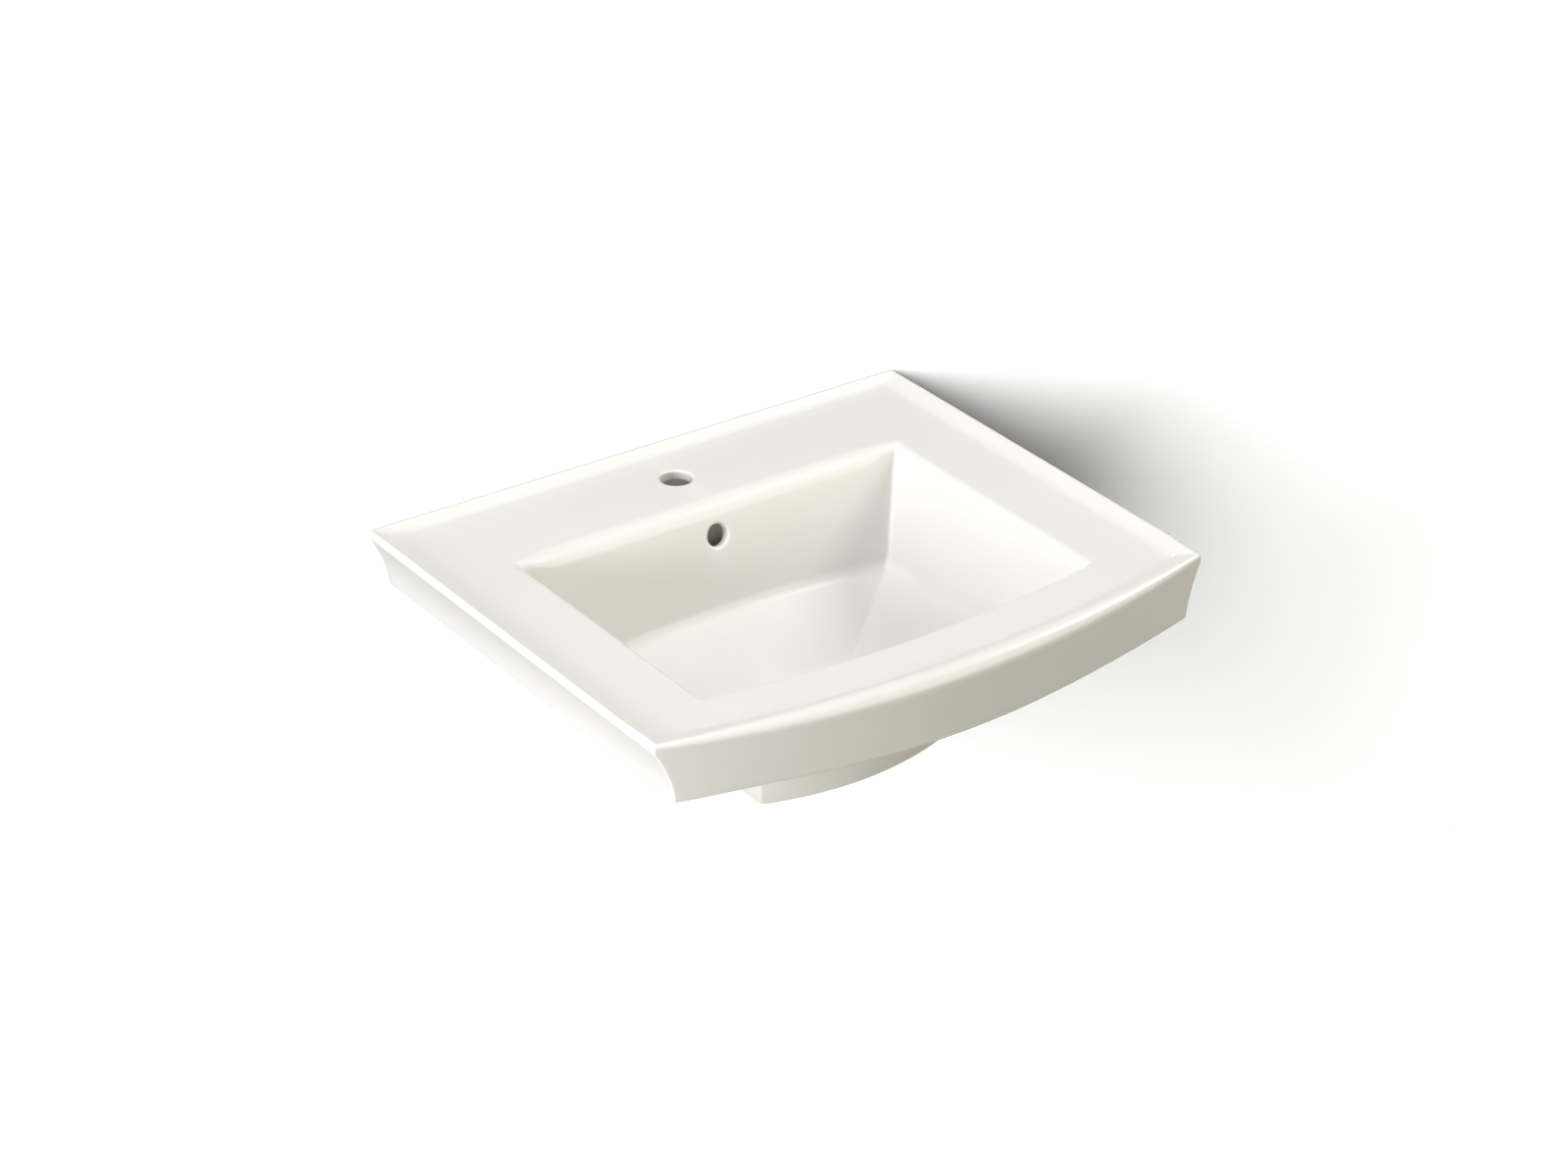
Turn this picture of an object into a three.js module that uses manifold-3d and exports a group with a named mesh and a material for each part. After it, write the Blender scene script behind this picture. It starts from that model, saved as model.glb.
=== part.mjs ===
// Wall-hung basin of a pedestal sink, with its push-to-open waste and its hanger bolts.
// Millimetres. The wall is the plane y = 0 and the basin stands out of it towards -Y.
// +Z is up, and z = 0 is the height of the two hanger bolts, halfway between them.

import * as THREE from 'three';
import { ConvexGeometry } from 'three/addons/geometries/ConvexGeometry.js';
import { mergeVertices } from 'three/addons/utils/BufferGeometryUtils.js';
import Module from 'manifold-3d';

const wasm = await Module();
wasm.setup();

// ---- Basin: overall sizes ----
const WIDTH = 610;
const SIDE_DEPTH = 485;            // wall to the front corners
const FRONT_BULGE = 43;            // how far the bowed front stands past its corners
const APRON_HEIGHT = 62;           // at the corners
const APRON_DIP = 6.5;             // the lower edge hangs this much lower in the middle
const APRON_WALL = 12;
const COVE_INSET = 18;             // the side's hollow curve steps in by this at the bottom
const COVE_START = 8;              // plain band under the rim, above the cove
const COVE_POWER = 1.8;
const FRONT_DRAFT = 2;
const FRONT_ROUND = 12;            // soft round along the top of the bowed front

// ---- Basin: rim and deck ----
const RIM_DROP = 8;                // deck below the rim
const RIM_ARRIS = 2;
const BAND_SIDE = 18;
const BAND_BACK = 12;
const BAND_FRONT = 28;
const DECK_THICKNESS = 11;

// ---- Basin: bowl ----
const DECK_SIDE = 87.5;            // side of the basin to the bowl's opening
const DECK_BACK = 126;             // wall to the bowl's back edge
const DECK_FRONT = 57;             // front corner to the bowl's front corner
const BOWL_BULGE = 19;
const BOWL_WALL = 12;
const WALL_DEPTH = 112;            // deck to the foot of the bowl's walls
const WALL_DRAFT = 31;
const FLOOR_FALL = 30;             // foot of the walls to the flat around the waste
const FLAT_WIDTH = 172;
const FLAT_BEHIND_DRAIN = 52;
const FLAT_AHEAD_OF_DRAIN = 47;
const FLAT_BULGE = 5;
const BACK_EDGE_ROUND = 20;

// ---- Basin: holes ----
const FAUCET_HOLE = 32;            // halfway between the wall and the bowl
const OVERFLOW_HOLE = 25;
const OVERFLOW_DEPTH = 32;         // deck to the middle of the overflow hole
const CHANNEL_WIDTH = 30;
const CHANNEL_GAP = 12;
const CHANNEL_SKIN = 10;           // china between the bowl and the overflow channel
const CHANNEL_WALL = 8;
const DRAIN_AHEAD = 12;            // drain, in front of the middle of the bowl's sides
const BORE_CLEARANCE = 1.5;        // around the waste's thread
const RECESS_CLEARANCE = 1.5;      // around the waste's flange
const BOSS_WALL = 13;
const BOSS_DEPTH = 40;
const RECESS_DEPTH = 4.5;

// ---- Basin: neck and hanging panel ----
const NECK_WIDTH = 210;
const NECK_BELOW_FLOOR = 45;       // flat of the bowl's floor to the neck's lower edge
const NECK_BEHIND_DRAIN = 119;
const NECK_AHEAD_OF_DRAIN = 66;    // to the neck's front corners
const NECK_BULGE = 19;
const NECK_WALL = 14;
const HANGER_DROP = 85;            // rim to the hanger bolts
const HANGER_SPACING = 203;
const HANGER_HOLE_CLEARANCE = 3;   // around the bolt
const PANEL_MARGIN = 38;           // panel beyond a hanger hole, sideways and downwards

// ---- Waste fitting ----
const SEAT_GAP = 0.3;              // between pieces that touch
const THREAD_RADIUS = 21;
const TUBE_WALL = 2.5;
const WASTE_LENGTH = 88;
const FLANGE_THICKNESS = 2.7;
const SEAT_STEP = 1;               // tube bore to the foot of the conical seat
const SEAT_WIDTH = 4;
const FLANGE_LAND = 8.5;           // conical seat to the flange's edge
const THREAD_CLEARANCE = 0.3;
const GASKET_THICKNESS = 1.2;
const CONE_THICKNESS = 9;
const CONE_MARGIN = 11;            // these margins are outside the thread
const CONE_LOWER_MARGIN = 6;
const WASHER_MARGIN = 9;
const WASHER_THICKNESS = 1.6;
const NUT_MARGIN = 6;
const NUT_HEIGHT = 9;
const SLOT_WIDTH = 10;
const SLOT_TOP = 9;                // flange top to the top of the overflow slots
const SLOT_HEIGHT = 16;
const HUB_THICKNESS = 6;
const HUB_RADIUS = 8;
const STUD_RADIUS = 4;
const ARM_WIDTH = 4;

// ---- Stopper and its cartridge ----
const STOPPER_TRAVEL = 9;
const CAP_INSIDE_FLANGE = 2.5;
const CAP_RIM = 1.5;
const CAP_CROWN = 3.6;
const CAP_BOSS_RADIUS = 7;
const CAP_BOSS_DEPTH = 4;
const SEAL_DEPTH = 3.3;
const PLUNGER_RADIUS = 4.2;
const PLUNGER_THREAD_RADIUS = 2.9;
const PLUNGER_FOOT_HEIGHT = 3;
const HOUSING_RADIUS = 9;
const CHAMBER_RADIUS = 6.8;
const LID_TOP = 5.5;               // flange top to the top of the cartridge's lid
const LID_THICKNESS = 2.2;
const LID_PLUG = 2;
const ROTOR_HEIGHT = 3.5;
const ROTOR_SPIGOT = 2;
const HOUSING_FLOOR = 3;
const RUNNING_CLEARANCE = 0.4;
const SPRING_SHUT_LENGTH = 14.3;
const SPRING_WIRE = 0.9;
const SPRING_TURNS = 6;

// ---- Hanger bolts ----
const BOLT_RADIUS = 4;
const SCREW_LENGTH = 58;           // wood thread, beyond the wall plane
const SCREW_POINT = 9;
const CHINA_WASHER_MARGIN = 11;    // these margins are outside the thread
const CHINA_WASHER_THICKNESS = 3;
const STEEL_WASHER_MARGIN = 8;
const STEEL_WASHER_THICKNESS = 1.6;
const HEX_NUT_MARGIN = 2.5;
const HEX_NUT_HEIGHT = 6.5;
const BOLT_END_SPARE = 8;

// ---- Sizes that follow ----
const BOWL_WIDTH = WIDTH - 2 * DECK_SIDE;
const BOWL_BACK = DECK_BACK;
const BOWL_CORNER = SIDE_DEPTH - DECK_FRONT;
const DRAIN_FROM_WALL = (BOWL_BACK + BOWL_CORNER) / 2 + DRAIN_AHEAD;
const FAUCET_FROM_WALL = DECK_BACK / 2;
const TUBE_RADIUS = THREAD_RADIUS - TUBE_WALL;
const SEAT_INNER_RADIUS = TUBE_RADIUS + SEAT_STEP;
const SEAT_OUTER_RADIUS = SEAT_INNER_RADIUS + SEAT_WIDTH;
const FLANGE_RADIUS = SEAT_OUTER_RADIUS + FLANGE_LAND;
const CAP_RADIUS = FLANGE_RADIUS - CAP_INSIDE_FLANGE;
const BORE_RADIUS = THREAD_RADIUS + BORE_CLEARANCE;
const PANEL_HALF = HANGER_SPACING / 2 + PANEL_MARGIN;

// ---- Heights that follow ----
const RIM_Z = HANGER_DROP;
const APRON_BOTTOM_Z = RIM_Z - APRON_HEIGHT;
const DECK_Z = RIM_Z - RIM_DROP;
const DECK_UNDERSIDE_Z = DECK_Z - DECK_THICKNESS;
const FOOT_Z = DECK_Z - WALL_DEPTH;
const FLOOR_Z = FOOT_Z - FLOOR_FALL;
const NECK_BOTTOM_Z = FLOOR_Z - NECK_BELOW_FLOOR;

// ---- Closed solids ----

// Welds a geometry's corners by position and drops triangles that closed up in the weld.
function welded(geometry) {
  const bare = geometry.index ? geometry.toNonIndexed() : geometry.clone();
  bare.deleteAttribute('normal');
  bare.deleteAttribute('uv');
  const merged = mergeVertices(bare, 1e-4);
  const corners = merged.index.array;
  const kept = [];
  for (let i = 0; i < corners.length; i += 3) {
    const [a, b, c] = corners.slice(i, i + 3);
    if (a !== b && b !== c && c !== a) {
      kept.push(a, b, c);
    }
  }
  merged.setIndex(kept);
  return merged;
}

function solid(geometry) {
  const merged = welded(geometry);
  const vertProperties = new Float32Array(merged.attributes.position.array);
  const triVerts = new Uint32Array(merged.index.array);
  return new wasm.Manifold(new wasm.Mesh({ numProp: 3, vertProperties, triVerts }));
}

function geometryOf(manifold) {
  const { vertProperties, triVerts } = manifold.getMesh();
  const geometry = new THREE.BufferGeometry();
  geometry.setAttribute('position', new THREE.BufferAttribute(new Float32Array(vertProperties), 3));
  geometry.setIndex(new THREE.BufferAttribute(new Uint32Array(triVerts), 1));
  geometry.computeVertexNormals();
  return geometry;
}

// A closed outline in x and y, raised from one height to another.
function raised(outline, bottom, top) {
  const shape = new THREE.Shape(outline);
  const geometry = new THREE.ExtrudeGeometry(shape, { depth: top - bottom, bevelEnabled: false });
  return solid(geometry.translate(0, 0, bottom));
}

// A closed outline in y and z, carried along x.
function across(outline, left, right) {
  const shape = new THREE.Shape(outline);
  const geometry = new THREE.ExtrudeGeometry(shape, { depth: right - left, bevelEnabled: false });
  const turn = new THREE.Matrix4().makeBasis(
    new THREE.Vector3(0, 1, 0), new THREE.Vector3(0, 0, 1), new THREE.Vector3(1, 0, 0));
  return solid(geometry.applyMatrix4(turn).translate(left, 0, 0));
}

// A closed outline in x and z, carried out from the wall.
function outFromWall(outline, distance) {
  const shape = new THREE.Shape(outline);
  const geometry = new THREE.ExtrudeGeometry(shape, { depth: distance, bevelEnabled: false });
  const turn = new THREE.Matrix4().makeBasis(
    new THREE.Vector3(1, 0, 0), new THREE.Vector3(0, 0, 1), new THREE.Vector3(0, -1, 0));
  return solid(geometry.applyMatrix4(turn));
}

// The hull of flat convex outlines stacked at their heights.
function stacked(levels) {
  const points = levels.flatMap(({ outline, z }) => outline.map((p) => new THREE.Vector3(p.x, p.y, z)));
  return solid(new ConvexGeometry(points));
}

function cylinder(radius, bottom, top, segments = 40) {
  const geometry = new THREE.CylinderGeometry(radius, radius, top - bottom, segments);
  return solid(geometry.rotateX(Math.PI / 2).translate(0, 0, (top + bottom) / 2));
}

function box(x0, x1, y0, y1, z0, z1) {
  const geometry = new THREE.BoxGeometry(x1 - x0, y1 - y0, z1 - z0);
  return solid(geometry.translate((x0 + x1) / 2, (y0 + y1) / 2, (z0 + z1) / 2));
}

// A piece turned on the lathe: [radius, height] pairs, anticlockwise, about a vertical axis.
function turned(profile, segments = 40) {
  const points = profile.map(([radius, height]) => new THREE.Vector2(radius, height));
  if (profile[0][0] > 0) {
    points.push(points[0].clone());
  }
  return solid(new THREE.LatheGeometry(points, segments).rotateX(Math.PI / 2));
}

function tube(inner, outer, bottom, top, segments = 40) {
  return turned([[inner, bottom], [outer, bottom], [outer, top], [inner, top]], segments);
}

function hexagon(acrossFlats) {
  const radius = acrossFlats / Math.sqrt(3);
  const corners = [];
  for (let i = 0; i < 6; i += 1) {
    const angle = i * Math.PI / 3;
    corners.push(new THREE.Vector2(radius * Math.cos(angle), radius * Math.sin(angle)));
  }
  return corners;
}

function point2(a, b) {
  return new THREE.Vector2(a, b);
}

// ---- The basin, one vitreous china casting ----

// Straight back, straight sides and a front that bows out in one arc.
function bowedOutline({ halfWidth, back, corner, bulge }, steps = 16) {
  const radius = (halfWidth ** 2 + bulge ** 2) / (2 * bulge);
  const outline = [point2(halfWidth, -back), point2(-halfWidth, -back)];
  for (let i = 0; i <= steps; i += 1) {
    const x = halfWidth * (2 * i / steps - 1);
    const rise = bulge - radius + Math.sqrt(radius ** 2 - x ** 2);
    outline.push(point2(x, -(corner + rise)));
  }
  return outline;
}

function grown({ halfWidth, back, corner, bulge }, amount) {
  return { halfWidth: halfWidth + amount, back: back - amount, corner: corner + amount, bulge };
}

const PLAN = { halfWidth: WIDTH / 2, back: 0, corner: SIDE_DEPTH, bulge: FRONT_BULGE };
const OPENING = { halfWidth: BOWL_WIDTH / 2, back: BOWL_BACK, corner: BOWL_CORNER, bulge: BOWL_BULGE };
const FOOT = grown(OPENING, -WALL_DRAFT);
const FLAT = {
  halfWidth: FLAT_WIDTH / 2,
  back: DRAIN_FROM_WALL - FLAT_BEHIND_DRAIN,
  corner: DRAIN_FROM_WALL + FLAT_AHEAD_OF_DRAIN,
  bulge: FLAT_BULGE,
};

// Depth from the wall of the bowl's sloping back wall at a height.
function backWallAt(z) {
  return BOWL_BACK + WALL_DRAFT * (DECK_Z - z) / WALL_DEPTH;
}

// The outside, with a soft round along the top of the bowed front.
function apronBlock() {
  const pulledIn = (amount) => bowedOutline({ ...PLAN, corner: SIDE_DEPTH - amount });
  const levels = [{ outline: pulledIn(FRONT_DRAFT), z: APRON_BOTTOM_Z - APRON_DIP - 1 }];
  const steps = 5;
  for (let i = 0; i <= steps; i += 1) {
    const angle = (Math.PI / 2) * (i / steps);
    const z = RIM_Z - FRONT_ROUND + FRONT_ROUND * Math.sin(angle);
    levels.push({ outline: pulledIn(FRONT_ROUND * (1 - Math.cos(angle))), z });
  }
  return stacked(levels);
}

// The basin seen from the front: a narrow band under the rim, a hollow curve inwards on each
// side, and a lower edge that hangs in a shallow arc.
function sideCove() {
  const lowerEdge = [];
  const lowerHalf = WIDTH / 2 - COVE_INSET;
  const lowerSteps = 12;
  for (let i = 1; i < lowerSteps; i += 1) {
    const share = 2 * i / lowerSteps - 1;
    lowerEdge.push(point2(lowerHalf * share, APRON_BOTTOM_Z - APRON_DIP * (1 - share ** 2)));
  }
  const right = [];
  const steps = 9;
  for (let i = 0; i <= steps; i += 1) {
    const rise = i / steps;
    const inset = COVE_INSET * (1 - rise ** COVE_POWER);
    const z = APRON_BOTTOM_Z + rise * (APRON_HEIGHT - COVE_START);
    right.push(point2(WIDTH / 2 - inset, z));
  }
  right.push(point2(WIDTH / 2, RIM_Z - RIM_ARRIS));
  right.push(point2(WIDTH / 2 - RIM_ARRIS, RIM_Z));
  const left = right.map((p) => point2(-p.x, p.y)).reverse();
  return outFromWall([...right, ...left, ...lowerEdge], SIDE_DEPTH + FRONT_BULGE + 1);
}

// The rim's four bands slope inwards to the deck and meet in mitres at the corners.
function deckTray() {
  const spare = 1;
  const level = (share, z) => {
    const mix = (atRim, atDeck) => atRim + (atDeck - atRim) * share;
    const outline = bowedOutline({
      halfWidth: WIDTH / 2 - mix(RIM_ARRIS, BAND_SIDE),
      back: mix(RIM_ARRIS, BAND_BACK),
      corner: SIDE_DEPTH - mix(FRONT_ROUND, BAND_FRONT),
      bulge: FRONT_BULGE,
    });
    return { outline, z };
  };
  return stacked([level(-spare / RIM_DROP, RIM_Z + spare), level(1, DECK_Z)]);
}

function underHollow() {
  const inside = {
    halfWidth: WIDTH / 2 - COVE_INSET - APRON_WALL,
    back: APRON_WALL,
    corner: SIDE_DEPTH - FRONT_DRAFT - APRON_WALL,
    bulge: FRONT_BULGE,
  };
  return raised(bowedOutline(inside), APRON_BOTTOM_Z - APRON_DIP - 2, DECK_UNDERSIDE_Z);
}

function bowlHollow() {
  const spare = 1;
  const above = grown(OPENING, spare * WALL_DRAFT / WALL_DEPTH);
  const walls = stacked([
    { outline: bowedOutline(above), z: DECK_Z + spare },
    { outline: bowedOutline(FOOT), z: FOOT_Z },
  ]);
  const floor = stacked([
    { outline: bowedOutline(FOOT), z: FOOT_Z },
    { outline: bowedOutline(FLAT), z: FLOOR_Z },
  ]);
  return walls.add(floor);
}

function bowlShell() {
  return stacked([
    { outline: bowedOutline(grown(OPENING, BOWL_WALL)), z: DECK_UNDERSIDE_Z + DECK_THICKNESS / 2 },
    { outline: bowedOutline(grown(FOOT, BOWL_WALL)), z: FOOT_Z - BOWL_WALL / 2 },
    { outline: bowedOutline(grown(FLAT, BOWL_WALL / 3)), z: FLOOR_Z - BOWL_WALL },
  ]);
}

// Rounds the edge where the deck turns down into the bowl's back wall.
function backEdgeRound() {
  const slope = Math.atan2(WALL_DRAFT, WALL_DEPTH);
  const turn = Math.PI / 2 - slope;
  const reach = BACK_EDGE_ROUND * Math.tan(turn / 2);
  const outline = [];
  const steps = 6;
  for (let i = 0; i <= steps; i += 1) {
    const angle = turn * (i / steps);
    const y = -BOWL_BACK + reach - BACK_EDGE_ROUND * Math.sin(angle);
    outline.push(point2(y, DECK_Z - BACK_EDGE_ROUND + BACK_EDGE_ROUND * Math.cos(angle)));
  }
  outline.push(point2(-BOWL_BACK - BACK_EDGE_ROUND, DECK_Z - BACK_EDGE_ROUND));
  outline.push(point2(-BOWL_BACK - BACK_EDGE_ROUND, DECK_Z + 1));
  outline.push(point2(-BOWL_BACK + reach, DECK_Z + 1));
  const cutter = across(outline, -BOWL_WIDTH / 2, BOWL_WIDTH / 2);
  const betweenWalls = [[OPENING, DECK_Z], [FOOT, FOOT_Z]].map(([level, z]) => (
    { outline: bowedOutline({ ...level, back: BOWL_BACK - BACK_EDGE_ROUND }), z }));
  return cutter.intersect(stacked(betweenWalls));
}

// Moves an open run of points sideways by a distance, keeping its corners mitred.
function offsetRun(run, distance) {
  const normals = run.slice(1).map((p, i) => {
    const along = p.clone().sub(run[i]).normalize();
    return point2(-along.y, along.x);
  });
  return run.map((p, i) => {
    const before = normals[Math.max(i - 1, 0)];
    const after = normals[Math.min(i, normals.length - 1)];
    const mitre = before.clone().add(after).normalize();
    return p.clone().addScaledVector(mitre, distance / mitre.dot(after));
  });
}

// The bowl's back wall and floor in section, from a height down and forward to the drain.
function bowlSection(topZ) {
  return [
    point2(-backWallAt(topZ), topZ),
    point2(-backWallAt(FOOT_Z), FOOT_Z),
    point2(-FLAT.back, FLOOR_Z),
    point2(-DRAIN_FROM_WALL, FLOOR_Z),
  ];
}

function behindBowl(topZ, near, far, width) {
  const run = bowlSection(topZ);
  const outline = [...offsetRun(run, far), ...offsetRun(run, near).reverse()];
  return across(outline, -width / 2, width / 2);
}

function overflowTrunk() {
  const thickness = CHANNEL_SKIN + CHANNEL_GAP + CHANNEL_WALL;
  return behindBowl(DECK_UNDERSIDE_Z + 2, 0, thickness, CHANNEL_WIDTH + 2 * CHANNEL_WALL);
}

function overflowChannel() {
  const top = DECK_Z - OVERFLOW_DEPTH + OVERFLOW_HOLE / 2 + 1;
  return behindBowl(top, CHANNEL_SKIN, CHANNEL_SKIN + CHANNEL_GAP, CHANNEL_WIDTH);
}

// Square to the sloping back wall, from the bowl into the channel behind it.
function overflowHole() {
  const slope = Math.atan2(WALL_DRAFT, WALL_DEPTH);
  const z = DECK_Z - OVERFLOW_DEPTH;
  const inwards = CHANNEL_SKIN + CHANNEL_GAP / 2;
  const outwards = 12;
  const hole = new THREE.CylinderGeometry(
    OVERFLOW_HOLE / 2, OVERFLOW_HOLE / 2, inwards + outwards, 32);
  hole.translate(0, (inwards - outwards) / 2, 0).rotateX(-slope);
  return solid(hole.translate(0, -backWallAt(z), z));
}

// A collar, open towards the wall, that sits on the pedestal.
function neck() {
  const outside = {
    halfWidth: NECK_WIDTH / 2,
    back: DRAIN_FROM_WALL - NECK_BEHIND_DRAIN,
    corner: DRAIN_FROM_WALL + NECK_AHEAD_OF_DRAIN,
    bulge: NECK_BULGE,
  };
  const inside = { ...grown(outside, -NECK_WALL), back: outside.back - 1 };
  const top = FOOT_Z - BOWL_WALL / 2;
  const wall = raised(bowedOutline(outside), NECK_BOTTOM_Z, top);
  return wall.subtract(raised(bowedOutline(inside), NECK_BOTTOM_Z - 1, FLOOR_Z - BOWL_WALL / 2));
}

// The deeper middle of the back, which carries the hanger holes, and the rib at each end.
function hangingPanel() {
  const bottom = -PANEL_MARGIN;
  let panel = box(-PANEL_HALF, PANEL_HALF, -APRON_WALL, 0, bottom, DECK_UNDERSIDE_Z + 2);
  const top = DECK_UNDERSIDE_Z + 2;
  const low = bottom / 2;
  const rib = [
    point2(-1, top), point2(-backWallAt(top) - 2, top), point2(-backWallAt(low) - 2, low),
    point2(-APRON_WALL - 2, bottom), point2(-1, bottom),
  ];
  for (const side of [-1, 1]) {
    const middle = side * (PANEL_HALF - APRON_WALL / 2);
    panel = panel.add(across(rib, middle - APRON_WALL / 2, middle + APRON_WALL / 2));
  }
  return panel;
}

function basinHoles() {
  const drain = new THREE.Vector3(0, -DRAIN_FROM_WALL, FLOOR_Z);
  const bore = cylinder(BORE_RADIUS, -BOSS_DEPTH - 1, 1, 48);
  const recess = cylinder(FLANGE_RADIUS + RECESS_CLEARANCE, -RECESS_DEPTH, 1, 48);
  let holes = bore.add(recess).translate([drain.x, drain.y, drain.z]);
  const faucet = cylinder(FAUCET_HOLE / 2, DECK_UNDERSIDE_Z - 1, DECK_Z + 1);
  holes = holes.add(faucet.translate([0, -FAUCET_FROM_WALL, 0]));
  for (const side of [-1, 1]) {
    const hole = cylinder(BOLT_RADIUS + HANGER_HOLE_CLEARANCE, -1, APRON_WALL + 1, 24).rotate([90, 0, 0]);
    holes = holes.add(hole.translate([side * HANGER_SPACING / 2, 0, 0]));
  }
  return holes.add(overflowHole()).add(overflowChannel());
}

function basin() {
  const boss = cylinder(BORE_RADIUS + BOSS_WALL, -BOSS_DEPTH, -1, 48);
  return apronBlock()
    .intersect(sideCove())
    .subtract(deckTray())
    .subtract(underHollow())
    .add(bowlShell())
    .add(overflowTrunk())
    .add(boss.translate([0, -DRAIN_FROM_WALL, FLOOR_Z]))
    .add(neck())
    .add(hangingPanel())
    .subtract(bowlHollow())
    .subtract(backEdgeRound())
    .subtract(basinHoles());
}

// ---- The waste fitting: heights are from the top of its flange ----

// From the cartridge's lid down to the hub that it screws into, with the stopper shut.
const LID_BOTTOM = -LID_TOP - LID_THICKNESS;
const LID_PLUG_BOTTOM = LID_BOTTOM - LID_PLUG;
const FOOT_TOP = LID_PLUG_BOTTOM - SEAT_GAP - STOPPER_TRAVEL;
const FOOT_BOTTOM = FOOT_TOP - PLUNGER_FOOT_HEIGHT;
const ROTOR_TOP = FOOT_BOTTOM - SEAT_GAP;
const ROTOR_BOTTOM = ROTOR_TOP - ROTOR_HEIGHT;
const SPRING_TOP = ROTOR_BOTTOM - SEAT_GAP;
const SPRING_BOTTOM = SPRING_TOP - SPRING_SHUT_LENGTH;
const CHAMBER_BOTTOM = SPRING_BOTTOM - SEAT_GAP;
const HOUSING_TOP = LID_BOTTOM - SEAT_GAP;
const HOUSING_BOTTOM = CHAMBER_BOTTOM - HOUSING_FLOOR;
const HUB_TOP = HOUSING_BOTTOM - SEAT_GAP;
const HUB_BOTTOM = HUB_TOP - HUB_THICKNESS;
const SLIDER_RADIUS = CHAMBER_RADIUS - RUNNING_CLEARANCE;

// Flange, conical seat and threaded tube in one brass piece, with slots for the overflow.
function wasteBody() {
  const shell = turned([
    [TUBE_RADIUS, -WASTE_LENGTH], [THREAD_RADIUS, -WASTE_LENGTH],
    [THREAD_RADIUS, -FLANGE_THICKNESS - 2.5], [SEAT_OUTER_RADIUS, -FLANGE_THICKNESS],
    [FLANGE_RADIUS, -FLANGE_THICKNESS], [FLANGE_RADIUS, -0.9], [FLANGE_RADIUS - 0.9, 0],
    [FLANGE_RADIUS - 2, -0.2], [SEAT_OUTER_RADIUS, -0.5],
    [SEAT_INNER_RADIUS, -3.5], [TUBE_RADIUS, -4.5],
  ], 48);
  let body = shell;
  for (let i = 0; i < 4; i += 1) {
    const slot = box(TUBE_RADIUS - 2, THREAD_RADIUS + 2, -SLOT_WIDTH / 2, SLOT_WIDTH / 2,
      -SLOT_TOP - SLOT_HEIGHT, -SLOT_TOP);
    body = body.subtract(slot.rotate([0, 0, 45 + 90 * i]));
  }
  let hub = cylinder(HUB_RADIUS, HUB_BOTTOM, HUB_TOP, 32);
  for (let i = 0; i < 3; i += 1) {
    const arm = box(0, TUBE_RADIUS + TUBE_WALL / 2, -ARM_WIDTH / 2, ARM_WIDTH / 2, HUB_BOTTOM, HUB_TOP);
    hub = hub.add(arm.rotate([0, 0, 90 + 120 * i]));
  }
  const studHole = cylinder(STUD_RADIUS + THREAD_CLEARANCE, HUB_BOTTOM - 1, HUB_TOP + 1, 32);
  return body.add(hub).subtract(studHole);
}

function flangeGasket() {
  const top = -FLANGE_THICKNESS - SEAT_GAP;
  return tube(SEAT_OUTER_RADIUS + SEAT_GAP, FLANGE_RADIUS - 0.5, top - GASKET_THICKNESS, top, 48);
}

const THREAD_HOLE_RADIUS = THREAD_RADIUS + THREAD_CLEARANCE;
const CONE_TOP = -BOSS_DEPTH - SEAT_GAP;
const CONE_BOTTOM = CONE_TOP - CONE_THICKNESS;
const WASHER_TOP = CONE_BOTTOM - SEAT_GAP;
const WASHER_BOTTOM = WASHER_TOP - WASHER_THICKNESS;
const NUT_TOP = WASHER_BOTTOM - SEAT_GAP;

function coneGasket() {
  const wide = THREAD_RADIUS + CONE_MARGIN;
  return turned([
    [THREAD_HOLE_RADIUS, CONE_BOTTOM], [THREAD_RADIUS + CONE_LOWER_MARGIN, CONE_BOTTOM],
    [wide, CONE_TOP - 3], [wide, CONE_TOP], [THREAD_HOLE_RADIUS, CONE_TOP],
  ], 48);
}

function frictionWasher() {
  return tube(THREAD_HOLE_RADIUS, THREAD_RADIUS + WASHER_MARGIN, WASHER_BOTTOM, WASHER_TOP, 48);
}

function backNut() {
  const bore = cylinder(THREAD_HOLE_RADIUS, NUT_TOP - NUT_HEIGHT - 1, NUT_TOP + 1, 48);
  const acrossFlats = 2 * (THREAD_RADIUS + NUT_MARGIN);
  return raised(hexagon(acrossFlats), NUT_TOP - NUT_HEIGHT, NUT_TOP).subtract(bore);
}

// ---- The stopper, shown down on its seat ----

function stopperCap() {
  const under = SEAT_GAP;
  const holeRadius = PLUNGER_THREAD_RADIUS + THREAD_CLEARANCE;
  return turned([
    [0, CAP_CROWN - 2.2], [holeRadius, CAP_CROWN - 2.2], [holeRadius, -CAP_BOSS_DEPTH],
    [CAP_BOSS_RADIUS, -CAP_BOSS_DEPTH], [CAP_BOSS_RADIUS, under], [CAP_RADIUS - 0.4, under],
    [CAP_RADIUS, under + 0.4], [CAP_RADIUS, CAP_RIM], [CAP_RADIUS - 1, CAP_RIM + 0.7],
    [CAP_RADIUS * 0.75, CAP_CROWN - 0.65], [CAP_RADIUS * 0.4, CAP_CROWN - 0.15], [0, CAP_CROWN],
  ], 48);
}

function capSeal() {
  const inner = SEAT_INNER_RADIUS - 2;
  return turned([
    [inner, -SEAL_DEPTH], [SEAT_INNER_RADIUS - 0.7, -SEAL_DEPTH],
    [SEAT_OUTER_RADIUS - 1.2, -0.9], [SEAT_OUTER_RADIUS - 1.2, 0], [inner, 0],
  ], 48);
}

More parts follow.
